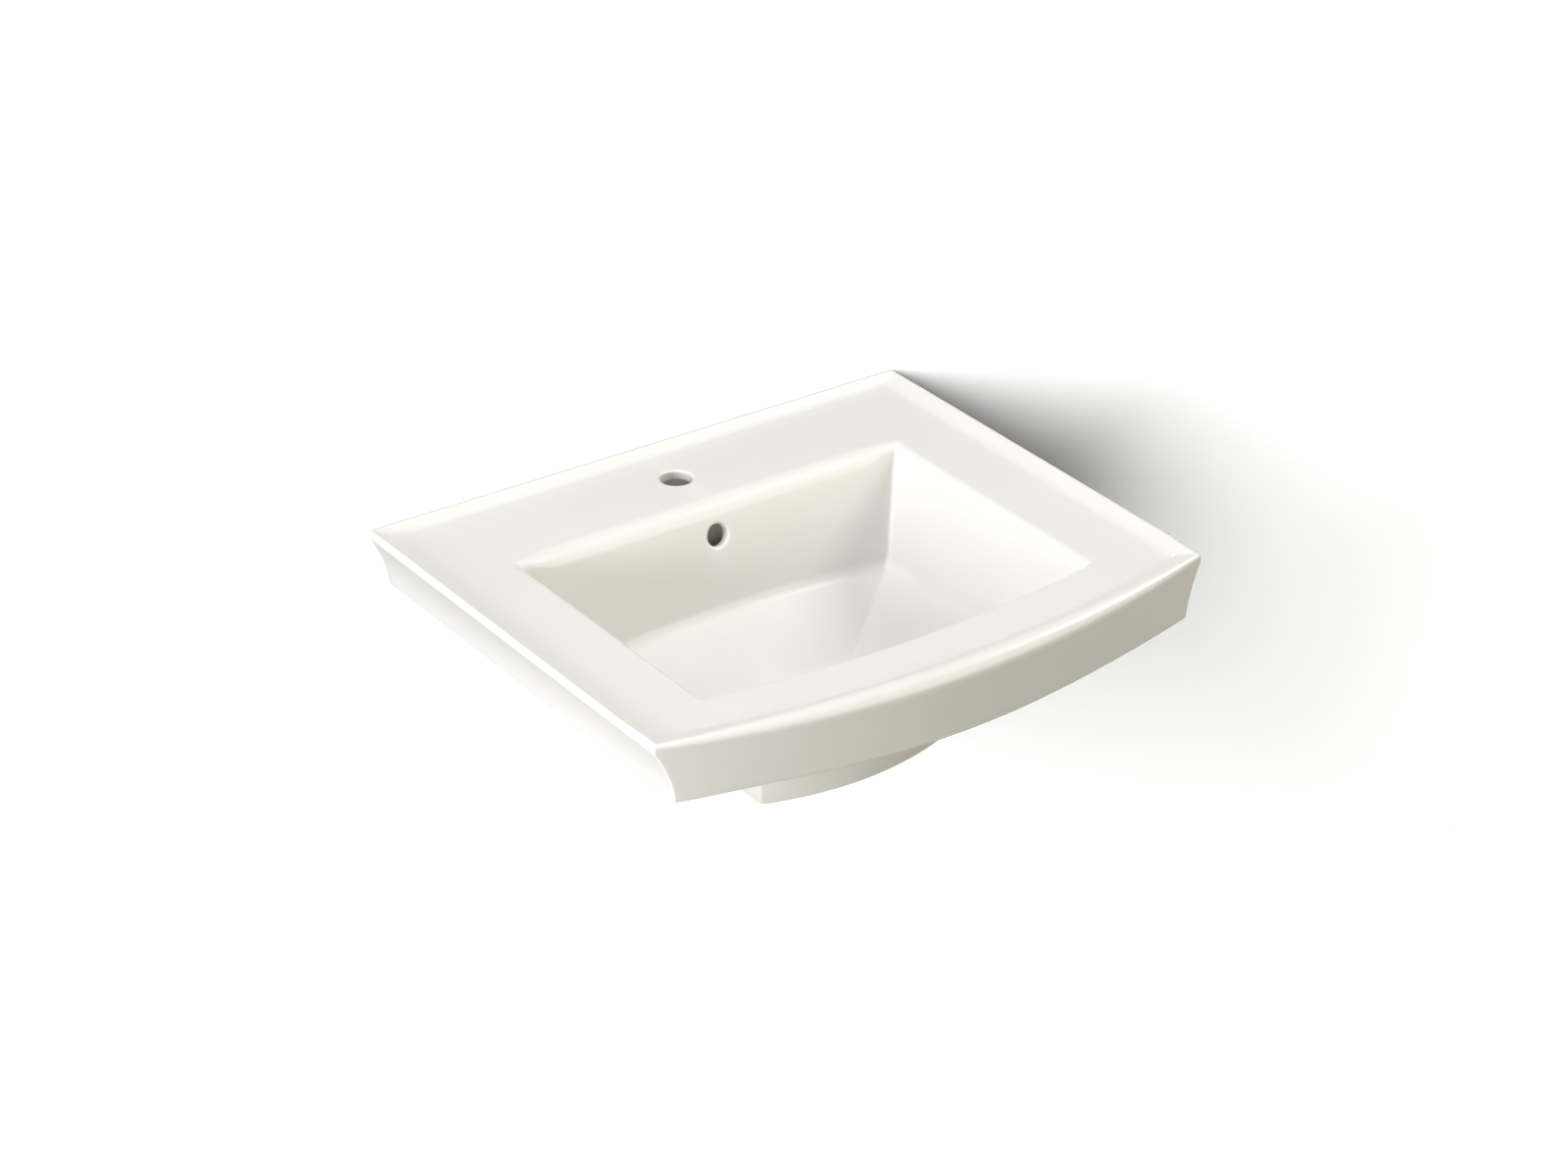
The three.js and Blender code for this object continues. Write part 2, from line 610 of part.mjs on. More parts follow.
function plunger() {
  const shoulder = -CAP_BOSS_DEPTH - SEAT_GAP;
  return turned([
    [0, FOOT_BOTTOM], [SLIDER_RADIUS, FOOT_BOTTOM], [SLIDER_RADIUS, FOOT_TOP],
    [PLUNGER_RADIUS, FOOT_TOP], [PLUNGER_RADIUS, shoulder], [PLUNGER_THREAD_RADIUS, shoulder],
    [PLUNGER_THREAD_RADIUS, CAP_CROWN - 2.2 - SEAT_GAP], [0, CAP_CROWN - 2.2 - SEAT_GAP],
  ], 32);
}

// The notched ring under the plunger's foot that turns at each push and latches the stopper.
function indexRotor() {
  const spigot = SLIDER_RADIUS - SPRING_WIRE - 1.3;
  let rotor = turned([
    [0, ROTOR_BOTTOM - ROTOR_SPIGOT], [spigot, ROTOR_BOTTOM - ROTOR_SPIGOT],
    [spigot, ROTOR_BOTTOM], [SLIDER_RADIUS, ROTOR_BOTTOM], [SLIDER_RADIUS, ROTOR_TOP], [0, ROTOR_TOP],
  ], 32);
  for (let i = 0; i < 4; i += 1) {
    const notch = box(SLIDER_RADIUS - 1.2, SLIDER_RADIUS + 1, -0.9, 0.9, ROTOR_TOP - 1.5, ROTOR_TOP + 1);
    rotor = rotor.subtract(notch.rotate([0, 0, 90 * i]));
  }
  return rotor;
}

function returnSpring() {
  const bottom = SPRING_BOTTOM + SPRING_WIRE / 2;
  const top = SPRING_TOP - SPRING_WIRE / 2;
  const radius = SLIDER_RADIUS - SPRING_WIRE / 2 - 0.2;
  class Helix extends THREE.Curve {
    getPoint(share, target = new THREE.Vector3()) {
      const angle = 2 * Math.PI * SPRING_TURNS * share;
      const z = bottom + (top - bottom) * share;
      return target.set(radius * Math.cos(angle), radius * Math.sin(angle), z);
    }
  }
  const section = new THREE.Shape();
  section.absarc(0, 0, SPRING_WIRE / 2, 0, 2 * Math.PI, false);
  const steps = 16 * SPRING_TURNS;
  return solid(new THREE.ExtrudeGeometry(section, { steps, curveSegments: 3, extrudePath: new Helix() }));
}

function cartridgeHousing() {
  const studBottom = HUB_BOTTOM - 3;
  return turned([
    [0, studBottom], [STUD_RADIUS, studBottom], [STUD_RADIUS, HOUSING_BOTTOM],
    [HOUSING_RADIUS, HOUSING_BOTTOM], [HOUSING_RADIUS, HOUSING_TOP], [CHAMBER_RADIUS, HOUSING_TOP],
    [CHAMBER_RADIUS, CHAMBER_BOTTOM], [0, CHAMBER_BOTTOM],
  ], 32);
}

function cartridgeLid() {
  const opening = PLUNGER_RADIUS + RUNNING_CLEARANCE;
  const plug = CHAMBER_RADIUS - SEAT_GAP;
  return turned([
    [opening, LID_PLUG_BOTTOM], [plug, LID_PLUG_BOTTOM], [plug, LID_BOTTOM],
    [HOUSING_RADIUS, LID_BOTTOM], [HOUSING_RADIUS, -LID_TOP], [opening, -LID_TOP],
  ], 32);
}

// ---- Hanger hardware: the axis is +Y, into the wall ----

const CHINA_WASHER_Y = -APRON_WALL - SEAT_GAP;
const STEEL_WASHER_Y = CHINA_WASHER_Y - CHINA_WASHER_THICKNESS - SEAT_GAP;
const HEX_NUT_Y = STEEL_WASHER_Y - STEEL_WASHER_THICKNESS - SEAT_GAP;
const BOLT_END_Y = HEX_NUT_Y - HEX_NUT_HEIGHT - BOLT_END_SPARE;
const HARDWARE_HOLE_RADIUS = BOLT_RADIUS + THREAD_CLEARANCE;

function hangerBolt() {
  const chamfer = 0.8;
  const profile = [
    [0, BOLT_END_Y], [BOLT_RADIUS - chamfer, BOLT_END_Y], [BOLT_RADIUS, BOLT_END_Y + chamfer],
    [BOLT_RADIUS, SCREW_LENGTH - SCREW_POINT], [0, SCREW_LENGTH],
  ];
  const points = profile.map(([radius, y]) => point2(radius, y));
  return solid(new THREE.LatheGeometry(points, 24));
}

// A ring about the bolt from one distance off the wall to another.
function boltRing(outline, near, far) {
  const ring = raised(outline, -near, -far);
  const bore = cylinder(HARDWARE_HOLE_RADIUS, -near - 1, -far + 1, 24);
  return ring.subtract(bore).rotate([90, 0, 0]);
}

function circle(radius, segments = 32) {
  return new THREE.EllipseCurve(0, 0, radius, radius).getPoints(segments).slice(0, segments);
}

function chinaWasher() {
  const outline = circle(BOLT_RADIUS + CHINA_WASHER_MARGIN);
  return boltRing(outline, CHINA_WASHER_Y, CHINA_WASHER_Y - CHINA_WASHER_THICKNESS);
}

function steelWasher() {
  const outline = circle(BOLT_RADIUS + STEEL_WASHER_MARGIN);
  return boltRing(outline, STEEL_WASHER_Y, STEEL_WASHER_Y - STEEL_WASHER_THICKNESS);
}

function hangerNut() {
  const outline = hexagon(2 * (BOLT_RADIUS + HEX_NUT_MARGIN));
  return boltRing(outline, HEX_NUT_Y, HEX_NUT_Y - HEX_NUT_HEIGHT);
}

// ---- Materials and assembly ----

function finish(color, roughness, metalness) {
  return new THREE.MeshStandardMaterial({ color, roughness, metalness });
}

function piece(name, manifold, material) {
  const mesh = new THREE.Mesh(geometryOf(manifold), material);
  mesh.name = name;
  return mesh;
}

const sink = new THREE.Group();
sink.add(piece('basin', basin(), finish(0xeeeae0, 0.12, 0)));

const waste = new THREE.Group();
waste.position.set(0, -DRAIN_FROM_WALL, FLOOR_Z);
waste.add(piece('waste_body', wasteBody(), finish(0xd8dadc, 0.15, 1)));
waste.add(piece('flange_gasket', flangeGasket(), finish(0x3a3a3a, 0.8, 0)));
waste.add(piece('cone_gasket', coneGasket(), finish(0x262626, 0.8, 0)));
waste.add(piece('friction_washer', frictionWasher(), finish(0xe8e6df, 0.5, 0)));
waste.add(piece('back_nut', backNut(), finish(0xc9a24a, 0.35, 1)));
waste.add(piece('stopper_cap', stopperCap(), finish(0xd8dadc, 0.12, 1)));
waste.add(piece('cap_seal', capSeal(), finish(0x2b2b2b, 0.75, 0)));
waste.add(piece('plunger', plunger(), finish(0xe9e7e2, 0.45, 0)));
waste.add(piece('index_rotor', indexRotor(), finish(0xe9e7e2, 0.45, 0)));
waste.add(piece('return_spring', returnSpring(), finish(0xb8babd, 0.3, 1)));
waste.add(piece('cartridge_housing', cartridgeHousing(), finish(0xe9e7e2, 0.45, 0)));
waste.add(piece('cartridge_lid', cartridgeLid(), finish(0xe9e7e2, 0.45, 0)));
sink.add(waste);

for (const [side, x] of [['left', -HANGER_SPACING / 2], ['right', HANGER_SPACING / 2]]) {
  const hanger = new THREE.Group();
  hanger.position.set(x, 0, 0);
  hanger.add(piece(`${side}_hanger_bolt`, hangerBolt(), finish(0xb9bcc0, 0.4, 1)));
  hanger.add(piece(`${side}_china_washer`, chinaWasher(), finish(0x2b2b2b, 0.8, 0)));
  hanger.add(piece(`${side}_steel_washer`, steelWasher(), finish(0xb9bcc0, 0.35, 1)));
  hanger.add(piece(`${side}_hanger_nut`, hangerNut(), finish(0xb9bcc0, 0.35, 1)));
  sink.add(hanger);
}

export default sink;
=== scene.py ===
from math import asin, atan2, cos, pi, radians, sin, sqrt, tan

import bmesh
import bpy
from mathutils import Matrix, Vector
from mathutils.geometry import tessellate_polygon


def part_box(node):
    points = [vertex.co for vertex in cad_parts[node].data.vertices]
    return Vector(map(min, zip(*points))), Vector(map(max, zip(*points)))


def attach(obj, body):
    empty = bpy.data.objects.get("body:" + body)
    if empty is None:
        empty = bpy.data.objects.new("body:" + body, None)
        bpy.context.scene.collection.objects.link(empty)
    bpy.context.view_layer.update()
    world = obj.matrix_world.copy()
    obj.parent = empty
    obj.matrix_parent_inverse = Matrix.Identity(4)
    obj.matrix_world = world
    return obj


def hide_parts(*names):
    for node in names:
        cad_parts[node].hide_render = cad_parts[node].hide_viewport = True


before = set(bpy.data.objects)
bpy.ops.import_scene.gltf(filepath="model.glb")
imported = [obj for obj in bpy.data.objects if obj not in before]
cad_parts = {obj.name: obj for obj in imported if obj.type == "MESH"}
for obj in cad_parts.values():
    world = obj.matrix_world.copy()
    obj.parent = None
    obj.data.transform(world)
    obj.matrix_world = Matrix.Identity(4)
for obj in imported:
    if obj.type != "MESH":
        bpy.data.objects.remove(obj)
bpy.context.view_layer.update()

# ---- Basin ----
# One casting of vitreous china: a shallow apron round a deck with a low raised rim, and a deep
# bowl with drafted walls let into the deck. It is slip cast in a plaster mould, fettled by hand
# along its seams and edges, sprayed with an off-white glaze and fired, so every edge is soft.

basin_low, basin_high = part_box("basin")
half_width = basin_high.x
rim_top = basin_high.z
front_bulge = 0.043
front_corner = -basin_low.y - front_bulge
apron_foot = rim_top - 0.062
apron_dip = 0.0065
apron_wall = 0.012
cove_inset = 0.018
cove_top = rim_top - 0.008
front_draft = 0.002
band_side, band_back, band_front = 0.018, 0.012, 0.028
deck_top = rim_top - 0.008
deck_under = deck_top - 0.011

bowl_half = half_width - 0.0875
bowl_back = 0.126
bowl_corner = front_corner - 0.057
bowl_bulge = 0.019
bowl_wall = 0.012
wall_depth = 0.112
wall_draft = 0.031
foot_z = deck_top - wall_depth
floor_z = foot_z - 0.030
floor_under = floor_z - bowl_wall

waste_low, waste_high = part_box("waste_body")
drain_y = (waste_low.y + waste_high.y) / 2
flat_half = 0.086
flat_back = -drain_y - 0.052
flat_corner = -drain_y + 0.047
flat_bulge = 0.005
flat_rounding, flat_margin = 0.018, 0.0045
recess_radius = waste_high.x + 0.0015
recess_floor = floor_z - 0.0045
bore_radius = 0.0225
boss_radius = bore_radius + 0.013
boss_foot = floor_z - 0.040


def mix(a, b, share):
    return a + (b - a) * share


def eased(value, start, end):
    share = min(max((value - start) / (end - start), 0.0), 1.0)
    return share * share * (3 - 2 * share)


def arc_depth(x, half, corner, bulge):
    """How far from the wall a bowed front lies at x."""
    radius = (half ** 2 + bulge ** 2) / (2 * bulge)
    return corner + bulge - radius + sqrt(radius ** 2 - x ** 2)


def front_face(x):
    return arc_depth(x, half_width, front_corner, front_bulge)


def rounded_section(keys):
    """A run of (out, up, radius, steps) corners with each corner turned into an arc."""
    run = []
    for i, (out, up, radius, steps) in enumerate(key[:4] for key in keys):
        corner = Vector((out, up))
        if not steps:
            run.append(corner)
            continue
        before = (Vector(keys[i - 1][:2]) - corner).normalized()
        after = (Vector(keys[(i + 1) % len(keys)][:2]) - corner).normalized()
        opening = before.angle(after)
        if opening > radians(179):
            for n in range(steps + 1):
                share = n / steps
                run.append(corner + (before * (1 - share) + after * share) * radius / 2)
            continue
        centre = corner + (before + after).normalized() * radius / sin(opening / 2)
        start = corner + before * radius / tan(opening / 2) - centre
        end = corner + after * radius / tan(opening / 2) - centre
        sweep = start.angle(end)
        for n in range(steps + 1):
            share = n / steps
            turned = start * sin((1 - share) * sweep) + end * sin(share * sweep)
            run.append(centre + turned / sin(sweep))
    return run


def cove(z):
    """The side's hollow curve: how far in the side lies at a height."""
    if z >= cove_top:
        return 0.0
    return cove_inset * (1 - ((z - apron_foot) / (cove_top - apron_foot)) ** 1.8)


def ridge_height(rounding, band):
    """Height at which the rim's outer face and its band would meet without the rounding."""
    centre = Vector((rounding, rim_top - rounding))
    crease = Vector((band, deck_top))
    gap = centre - crease
    heading = atan2(gap.y, gap.x) - asin(rounding / gap.length)
    return deck_top - band * tan(heading)


cove_shares = (0.09, 0.2, 0.32, 0.44, 0.56, 0.67, 0.77, 0.86, 0.94)


def section_keys(part):
    """The casting in section, from under the bowl's floor, round the apron and rim, to its top.
    Each key also gives the radius in plan of the corners at that level."""
    under, apron, inside, crease = 0.008, 0.003, 0.0045, 0.0018
    foot_under = foot_z - 0.006
    keys = [
        (part["under_flat"], floor_under, 0, 0, under),
        (mix(part["under_flat"], part["under_foot"], 0.5), mix(floor_under, foot_under, 0.5), 0, 0, under),
        (part["under_foot"], foot_under, 0.010, 4, under),
        (mix(part["under_foot"], part["under_deck"], 0.5), mix(foot_under, deck_under, 0.5), 0, 0, under),
        (part["under_deck"], deck_under, 0.008, 4, under),
        (part["apron_in"], deck_under, 0.006, 4, apron),
        (part["apron_in"], apron_foot - part["dip"], 0.002, 3, apron),
        (part["apron_out"](apron_foot), apron_foot - part["dip"], 0.003, 5, apron),
    ]
    bead = part["bead_foot"]
    levels = [mix(apron_foot, bead, s) for s in cove_shares]
    keys += [(part["apron_out"](z), z, 0, 0, apron) for z in levels]
    keys.append((part["apron_out"](bead), bead, 0.004, 3, apron))
    band, rounding = part["band"], part["rim_round"]
    keys.append((0, ridge_height(rounding, band), rounding, 10, apron))
    keys.append((band, deck_top, part["crease_round"], 5, crease))
    keys += [(mix(band, part["edge"], s), deck_top, 0, 0, crease) for s in (0.33, 0.6)]
    keys.append((part["edge"], deck_top, part["edge_round"], 8, inside))
    foot_level = foot_z + part["foot_rise"]
    for s in (0.35, 0.55, 0.72):
        keys.append((mix(part["edge"], part["foot"], s), mix(deck_top, foot_level, s), 0, 0, inside))
    keys.append((part["foot"], foot_level, 0.018, 7, inside))
    for s in (0.35, 0.68):
        keys.append((mix(part["foot"], part["flat"], s), mix(foot_level, floor_z, s), 0, 0, crease))
    keys.append((part["flat"], floor_z, flat_rounding, 4, crease))
    keys.append((part["flat"] + flat_margin, floor_z, 0, 0, crease))
    return keys


def drafted(level):
    """How far the bowl's wall has come in at a height."""
    return wall_draft * (deck_top - level) / wall_depth


def side_keys(share):
    """share runs from 0 at the back corner to 1 at the front corner."""
    return section_keys({
        "under_flat": half_width - flat_half - 0.004,
        "under_foot": half_width - (bowl_half - wall_draft + bowl_wall),
        "under_deck": half_width - (bowl_half - drafted(deck_under) + bowl_wall),
        "apron_in": cove_inset + apron_wall,
        "apron_out": cove,
        "dip": 0,
        "bead_foot": cove_top,
        "band": band_side,
        "rim_round": mix(0.0024, 0.0042, eased(share, 0.88, 1)),
        "crease_round": 0.019,
        "edge": half_width - bowl_half,
        "edge_round": mix(0.010, 0.0062, eased(share, 0, 0.16)),
        "foot_rise": 0,
        "foot": half_width - bowl_half + wall_draft,
        "flat": half_width - flat_half,
    })


def back_keys(share):
    """share runs from 0 in the middle to 1 at the corner."""
    rise = 0.009 * (1 - share ** 2)
    return section_keys({
        "under_flat": flat_back - 0.004,
        "under_foot": bowl_back + wall_draft - bowl_wall,
        "under_deck": bowl_back + drafted(deck_under) - bowl_wall,
        "apron_in": apron_wall,
        "apron_out": lambda z: 0.0,
        "dip": 0,
        "bead_foot": cove_top,
        "band": band_back,
        "rim_round": 0.0024,
        "crease_round": 0.014,
        "edge": bowl_back,
        "edge_round": mix(0.020, 0.010, eased(share, 0.82, 1)),
        "foot_rise": rise,
        "foot": bowl_back + drafted(foot_z + rise),
        "flat": flat_back,
    })


def front_keys(share):
    """share runs from 0 in the middle to 1 at the corner. Insets are from the bowed front."""
    def inset(half, corner, bulge):
        return front_face(share * half) - arc_depth(share * half, half, corner, bulge)

    grown = bowl_wall - drafted(deck_under)
    return section_keys({
        "under_flat": inset(flat_half + 0.004, flat_corner + 0.004, flat_bulge),
        "under_foot": inset(bowl_half - wall_draft + bowl_wall,
                            bowl_corner - wall_draft + bowl_wall, bowl_bulge),
        "under_deck": inset(bowl_half + grown, bowl_corner + grown, bowl_bulge),
        "apron_in": front_draft + apron_wall,
        "apron_out": lambda z: front_draft * (rim_top - z) / (rim_top - apron_foot),
        "dip": apron_dip * (0.5 + 0.5 * cos(pi * min(share * 1.1, 1))),
        "bead_foot": mix(cove_top, rim_top - 0.0175, 1 - share ** 2),
        "band": band_front,
        "rim_round": mix(0.0042, 0.0135, 1 - share ** 2),
        "crease_round": 0.019,
        "edge": inset(bowl_half, bowl_corner, bowl_bulge),
        "edge_round": 0.0062,
        "foot_rise": 0,
        "foot": inset(bowl_half - wall_draft, bowl_corner - wall_draft, bowl_bulge),
        "flat": inset(flat_half, flat_corner, flat_bulge),
    })


def outwards(count, crowd=0.45):
    """Shares from the middle of a side to just short of its corner, closer together outwards."""
    return [n / count * (1 + crowd * (1 - n / count)) for n in range(count)]


def between_corners(count, crowd=0.45):
    steps = [(n + 1) / (count + 1) for n in range(count)]
    return [t - crowd * sin(2 * pi * t) / (2 * pi) for t in steps]


def right_half_columns():
    """Each column of the casting's right half, from the middle of the back to mid front."""
    radii = [key[4] for key in side_keys(0.5) for _ in range(key[3] + 1)]
    rows = range(len(radii))
    side_back, side_front = rounded_section(side_keys(0)), rounded_section(side_keys(1))
    back_end, front_end = rounded_section(back_keys(1)), rounded_section(front_keys(1))
    near = rounded_section(front_keys(0.97))
    half_back = [half_width - side_back[k].x for k in rows]
    half_front = [half_width - side_front[k].x for k in rows]
    depth_back = [back_end[k].x for k in rows]
    depth_front = [front_face(half_front[k]) - front_end[k].x for k in rows]
    slope = [(front_face(0.97 * half_front[k]) - near[k].x - depth_front[k])
             / (0.03 * half_front[k]) for k in rows]
    opening = [pi / 2 + atan2(s, 1) for s in slope]
    reach = [radii[k] / tan(opening[k] / 2) for k in rows]
    turns = 5

    columns = []
    for share in outwards(20):
        run = rounded_section(back_keys(share))
        columns.append([Vector((share * (half_back[k] - radii[k]), -run[k].x, run[k].y)) for k in rows])
    for n in range(turns + 1):
        angle = pi / 2 * n / turns
        columns.append([Vector((
            half_back[k] - radii[k] * (1 - sin(angle)),
            -(depth_back[k] + radii[k] * (1 - cos(angle))),
            mix(back_end[k].y, side_back[k].y, n / turns))) for k in rows])
    for share in between_corners(26):
        run = rounded_section(side_keys(share))
        columns.append([Vector((
            half_width - run[k].x,
            -mix(depth_back[k] + radii[k], depth_front[k] - reach[k], share), run[k].y)) for k in rows])
    for n in range(turns + 1):
        share = n / turns
        column = []
        for k in rows:
            corner = Vector((half_front[k], -depth_front[k]))
            up, along = Vector((0, 1)), Vector((-1, -slope[k])).normalized()
            centre = corner + (up + along).normalized() * radii[k] / sin(opening[k] / 2)
            start, end = corner + up * reach[k] - centre, corner + along * reach[k] - centre
            sweep = start.angle(end)
            spot = centre + (start * sin((1 - share) * sweep) + end * sin(share * sweep)) / sin(sweep)
            column.append(Vector((spot.x, spot.y, mix(side_front[k].y, front_end[k].y, share))))
        columns.append(column)
    for share in reversed(outwards(27)):
        run = rounded_section(front_keys(share))
        column = []
        for k in rows:
            x = share * (half_front[k] - reach[k] * cos(atan2(slope[k], 1)))
            column.append(Vector((x, run[k].x - front_face(x), run[k].y)))
        columns.append(column)
    return columns


def drain_rings(columns):
    """Rings about the drain: its recess, its bore and the boss under the floor."""
    centre = Vector((0, drain_y))
    keys = [
        (recess_radius + 0.006, floor_z, 0, 0),
        (recess_radius, floor_z, 0.0025, 4),
        (recess_radius, recess_floor, 0.001, 2),
        (bore_radius, recess_floor, 0.001, 2),
        (bore_radius, mix(recess_floor, boss_foot, 0.5), 0, 0),
        (bore_radius, boss_foot, 0.0012, 2),
        (boss_radius, boss_foot, 0.003, 3),
        (boss_radius, floor_under, 0.005, 4),
        (boss_radius + 0.010, floor_under, 0, 0),
    ]
    rings = rounded_section(keys)
    for column in columns:
        edge = column[-1]
        outward = (edge.xy - centre).normalized()
        under_edge = column[0]
        ring_points = [Vector((*(centre + outward * ring.x), ring.y)) for ring in rings]
        top = [edge.lerp(ring_points[0], s) for s in (0.33, 0.67)]
        under = [ring_points[-1].lerp(under_edge, s) for s in (0.33, 0.67)]
        column.extend(top + ring_points + under)
    return columns


def grid_solid(name, columns):
    """A closed body whose columns and rows both run round and meet themselves."""
    mesh = bmesh.new()
    grid = [[mesh.verts.new(spot) for spot in column] for column in columns]
    for i, column in enumerate(grid):
        beside = grid[(i + 1) % len(grid)]
        for k in range(len(column)):
            above = (k + 1) % len(column)
            mesh.faces.new((column[k], beside[k], beside[above], column[above]))
    bmesh.ops.recalc_face_normals(mesh, faces=mesh.faces)
    return finished(name, mesh)


def finished(name, mesh, smooth=True):
    """Puts a bmesh into the scene as a piece."""
    if smooth:
        for face in mesh.faces:
            face.smooth = True
    data = bpy.data.meshes.new(name)
    mesh.to_mesh(data)
    mesh.free()
    piece = bpy.data.objects.new(name, data)
    bpy.context.scene.collection.objects.link(piece)
    return piece


right = right_half_columns()
left = [[Vector((-p.x, p.y, p.z)) for p in column] for column in reversed(right[1:-1])]
basin = grid_solid("china_basin", drain_rings(right + left))


def bowed_outline(half, back, corner, bulge, legs=14, steps=28):
    """Anticlockwise from the back left, as (x, y) points, with points along both legs."""
    shares = [n / legs for n in range(legs)]
    run = [Vector((-half, -mix(back, corner, s))) for s in shares]
    for n in range(steps + 1):
        x = half * (2 * n / steps - 1)
        run.append(Vector((x, -arc_depth(x, half, corner, bulge))))
    run += [Vector((half, -mix(back, corner, s))) for s in reversed(shares)]
    return run


def rounded_outline(points, radii, steps=4):
    """A closed outline with each corner that has a radius turned into an arc."""
    keys = [(p.x, p.y, r, steps if r else 0) for p, r in zip(points, radii)]
    return rounded_section(keys)


def moved_in(outline, distance):
    """A closed anticlockwise outline moved inwards by a distance."""
    moved = []
    for i, here in enumerate(outline):
        before, after = outline[i - 1], outline[(i + 1) % len(outline)]
        a, b = (here - before).normalized(), (after - here).normalized()
        left_a, left_b = Vector((-a.y, a.x)), Vector((-b.y, b.x))
        middle = (left_a + left_b).normalized()
        moved.append(here + middle * distance / max(middle.dot(left_b), 0.3))
    return moved


def lofted(name, levels, place=Matrix()):
    """A closed body through outlines of equal count, each given as (outline, height). A height is
    a number, or a function of the point. The two end faces are filled in plan, so that an outline
    may be hollow and its end face uneven."""
    mesh = bmesh.new()
    rings = [[mesh.verts.new(place @ Vector((p.x, p.y, height(p) if callable(height) else height)))
              for p in outline] for outline, height in levels]
    for low, high in zip(rings, rings[1:]):
        for i in range(len(low)):
            n = (i + 1) % len(low)
            mesh.faces.new((low[i], low[n], high[n], high[i]))
    for (outline, _), ring in ((levels[0], rings[0]), (levels[-1], rings[-1])):
        for corners in tessellate_polygon([[Vector((p.x, p.y, 0)) for p in outline]]):
            mesh.faces.new([ring[c] for c in corners])
    bmesh.ops.recalc_face_normals(mesh, faces=mesh.faces)
    return finished(name, mesh)


def soft_slab(name, outline, low, high, rounding, place=Matrix(), steps=3):
    """An outline carried from low to high, with both its rims rounded."""
    levels = []
    for n in range(steps + 1):
        turn = pi / 2 * n / steps
        levels.append((moved_in(outline, rounding * (1 - sin(turn))), low + rounding * (1 - cos(turn))))
    for n in range(steps + 1):
        turn = pi / 2 * (1 - n / steps)
        levels.append((moved_in(outline, rounding * (1 - sin(turn))), high - rounding * (1 - cos(turn))))
    return lofted(name, levels, place)


def combined(piece, others, operation):
    """Joins other bodies to a piece or cuts them out of it, and clears them away."""
    for other in others:
        step = piece.modifiers.new(other.name, "BOOLEAN")
        step.operation, step.solver, step.object = operation, "EXACT", other
    shaped = piece.evaluated_get(bpy.context.evaluated_depsgraph_get())
    data = bpy.data.meshes.new_from_object(shaped)
    piece.modifiers.clear()
    piece.data = data
    for other in others:
        bpy.data.objects.remove(other)
    return piece


# The collar that stands on the pedestal, open towards the wall.
neck_half, neck_wall, neck_bulge = 0.105, 0.014, 0.019
neck_back, neck_corner = -drain_y - 0.119, -drain_y + 0.066


def under_bowl(p):
    """Height of the underside of the bowl's floor, which falls towards the drain."""
    depth = -p.y
    sideways = (abs(p.x) - flat_half) / (bowl_half - wall_draft - flat_half)
    backwards = (flat_back - depth) / (flat_back - bowl_back - wall_draft)
    forwards = (depth - flat_corner) / (bowl_corner - wall_draft - flat_corner)
    return floor_under + (foot_z - floor_z) * min(max(sideways, backwards, forwards, 0), 1)


outer = bowed_outline(neck_half, neck_back, neck_corner, neck_bulge)
inner = bowed_outline(neck_half - neck_wall, neck_back, neck_corner - neck_wall, neck_bulge)
collar_run = outer + list(reversed(inner))
count = len(outer)
collar_radii = [0.0] * len(collar_run)
for i in (0, count - 1, count, 2 * count - 1):
    collar_radii[i] = 0.004
for i in (14, count - 15):
    collar_radii[i] = 0.0035
for i in (count + 14, 2 * count - 15):
    collar_radii[i] = 0.009
collar_plan = rounded_outline(collar_run, collar_radii)
collar_levels = [(moved_in(collar_plan, 0.003 * (1 - sin(pi / 2 * n / 4))),
                  basin_low.z + 0.003 * (1 - cos(pi / 2 * n / 4))) for n in range(5)]
for n in range(6):
    turn = pi / 2 * n / 5
    collar_levels.append((moved_in(collar_plan, -0.005 * (1 - cos(turn))),
                          lambda p, turn=turn: under_bowl(p) - 0.006 + 0.008 * sin(turn)))
collar_levels.append((moved_in(collar_plan, -0.005), lambda p: under_bowl(p) + 0.009))
collar = lofted("collar", collar_levels)

# The deeper middle of the back with the two hanger holes, and a rib at each of its ends. All run
# up into the deck's thickness.
hanger_low, hanger_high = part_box("right_hanger_bolt")
hanger_x = (hanger_low.x + hanger_high.x) / 2
hanger_z = (hanger_low.z + hanger_high.z) / 2
panel_margin = 0.038
panel_half = hanger_x + panel_margin
panel_foot = hanger_z - panel_margin
in_deck = deck_under + 0.004
out_from_wall = Matrix(((1, 0, 0, 0), (0, 0, -1, 0), (0, 1, 0, 0), (0, 0, 0, 1)))
panel_plan = rounded_outline(
    [Vector((-panel_half, panel_foot)), Vector((panel_half, panel_foot)),
     Vector((panel_half, in_deck)), Vector((-panel_half, in_deck))],
    [0.008, 0.008, 0, 0])
panel = soft_slab("panel", panel_plan, 0.0003, apron_wall, 0.003, out_from_wall)


def behind_wall(level):
    """How far from the wall the bowl's back wall is at a height."""
    return bowl_back + drafted(level)


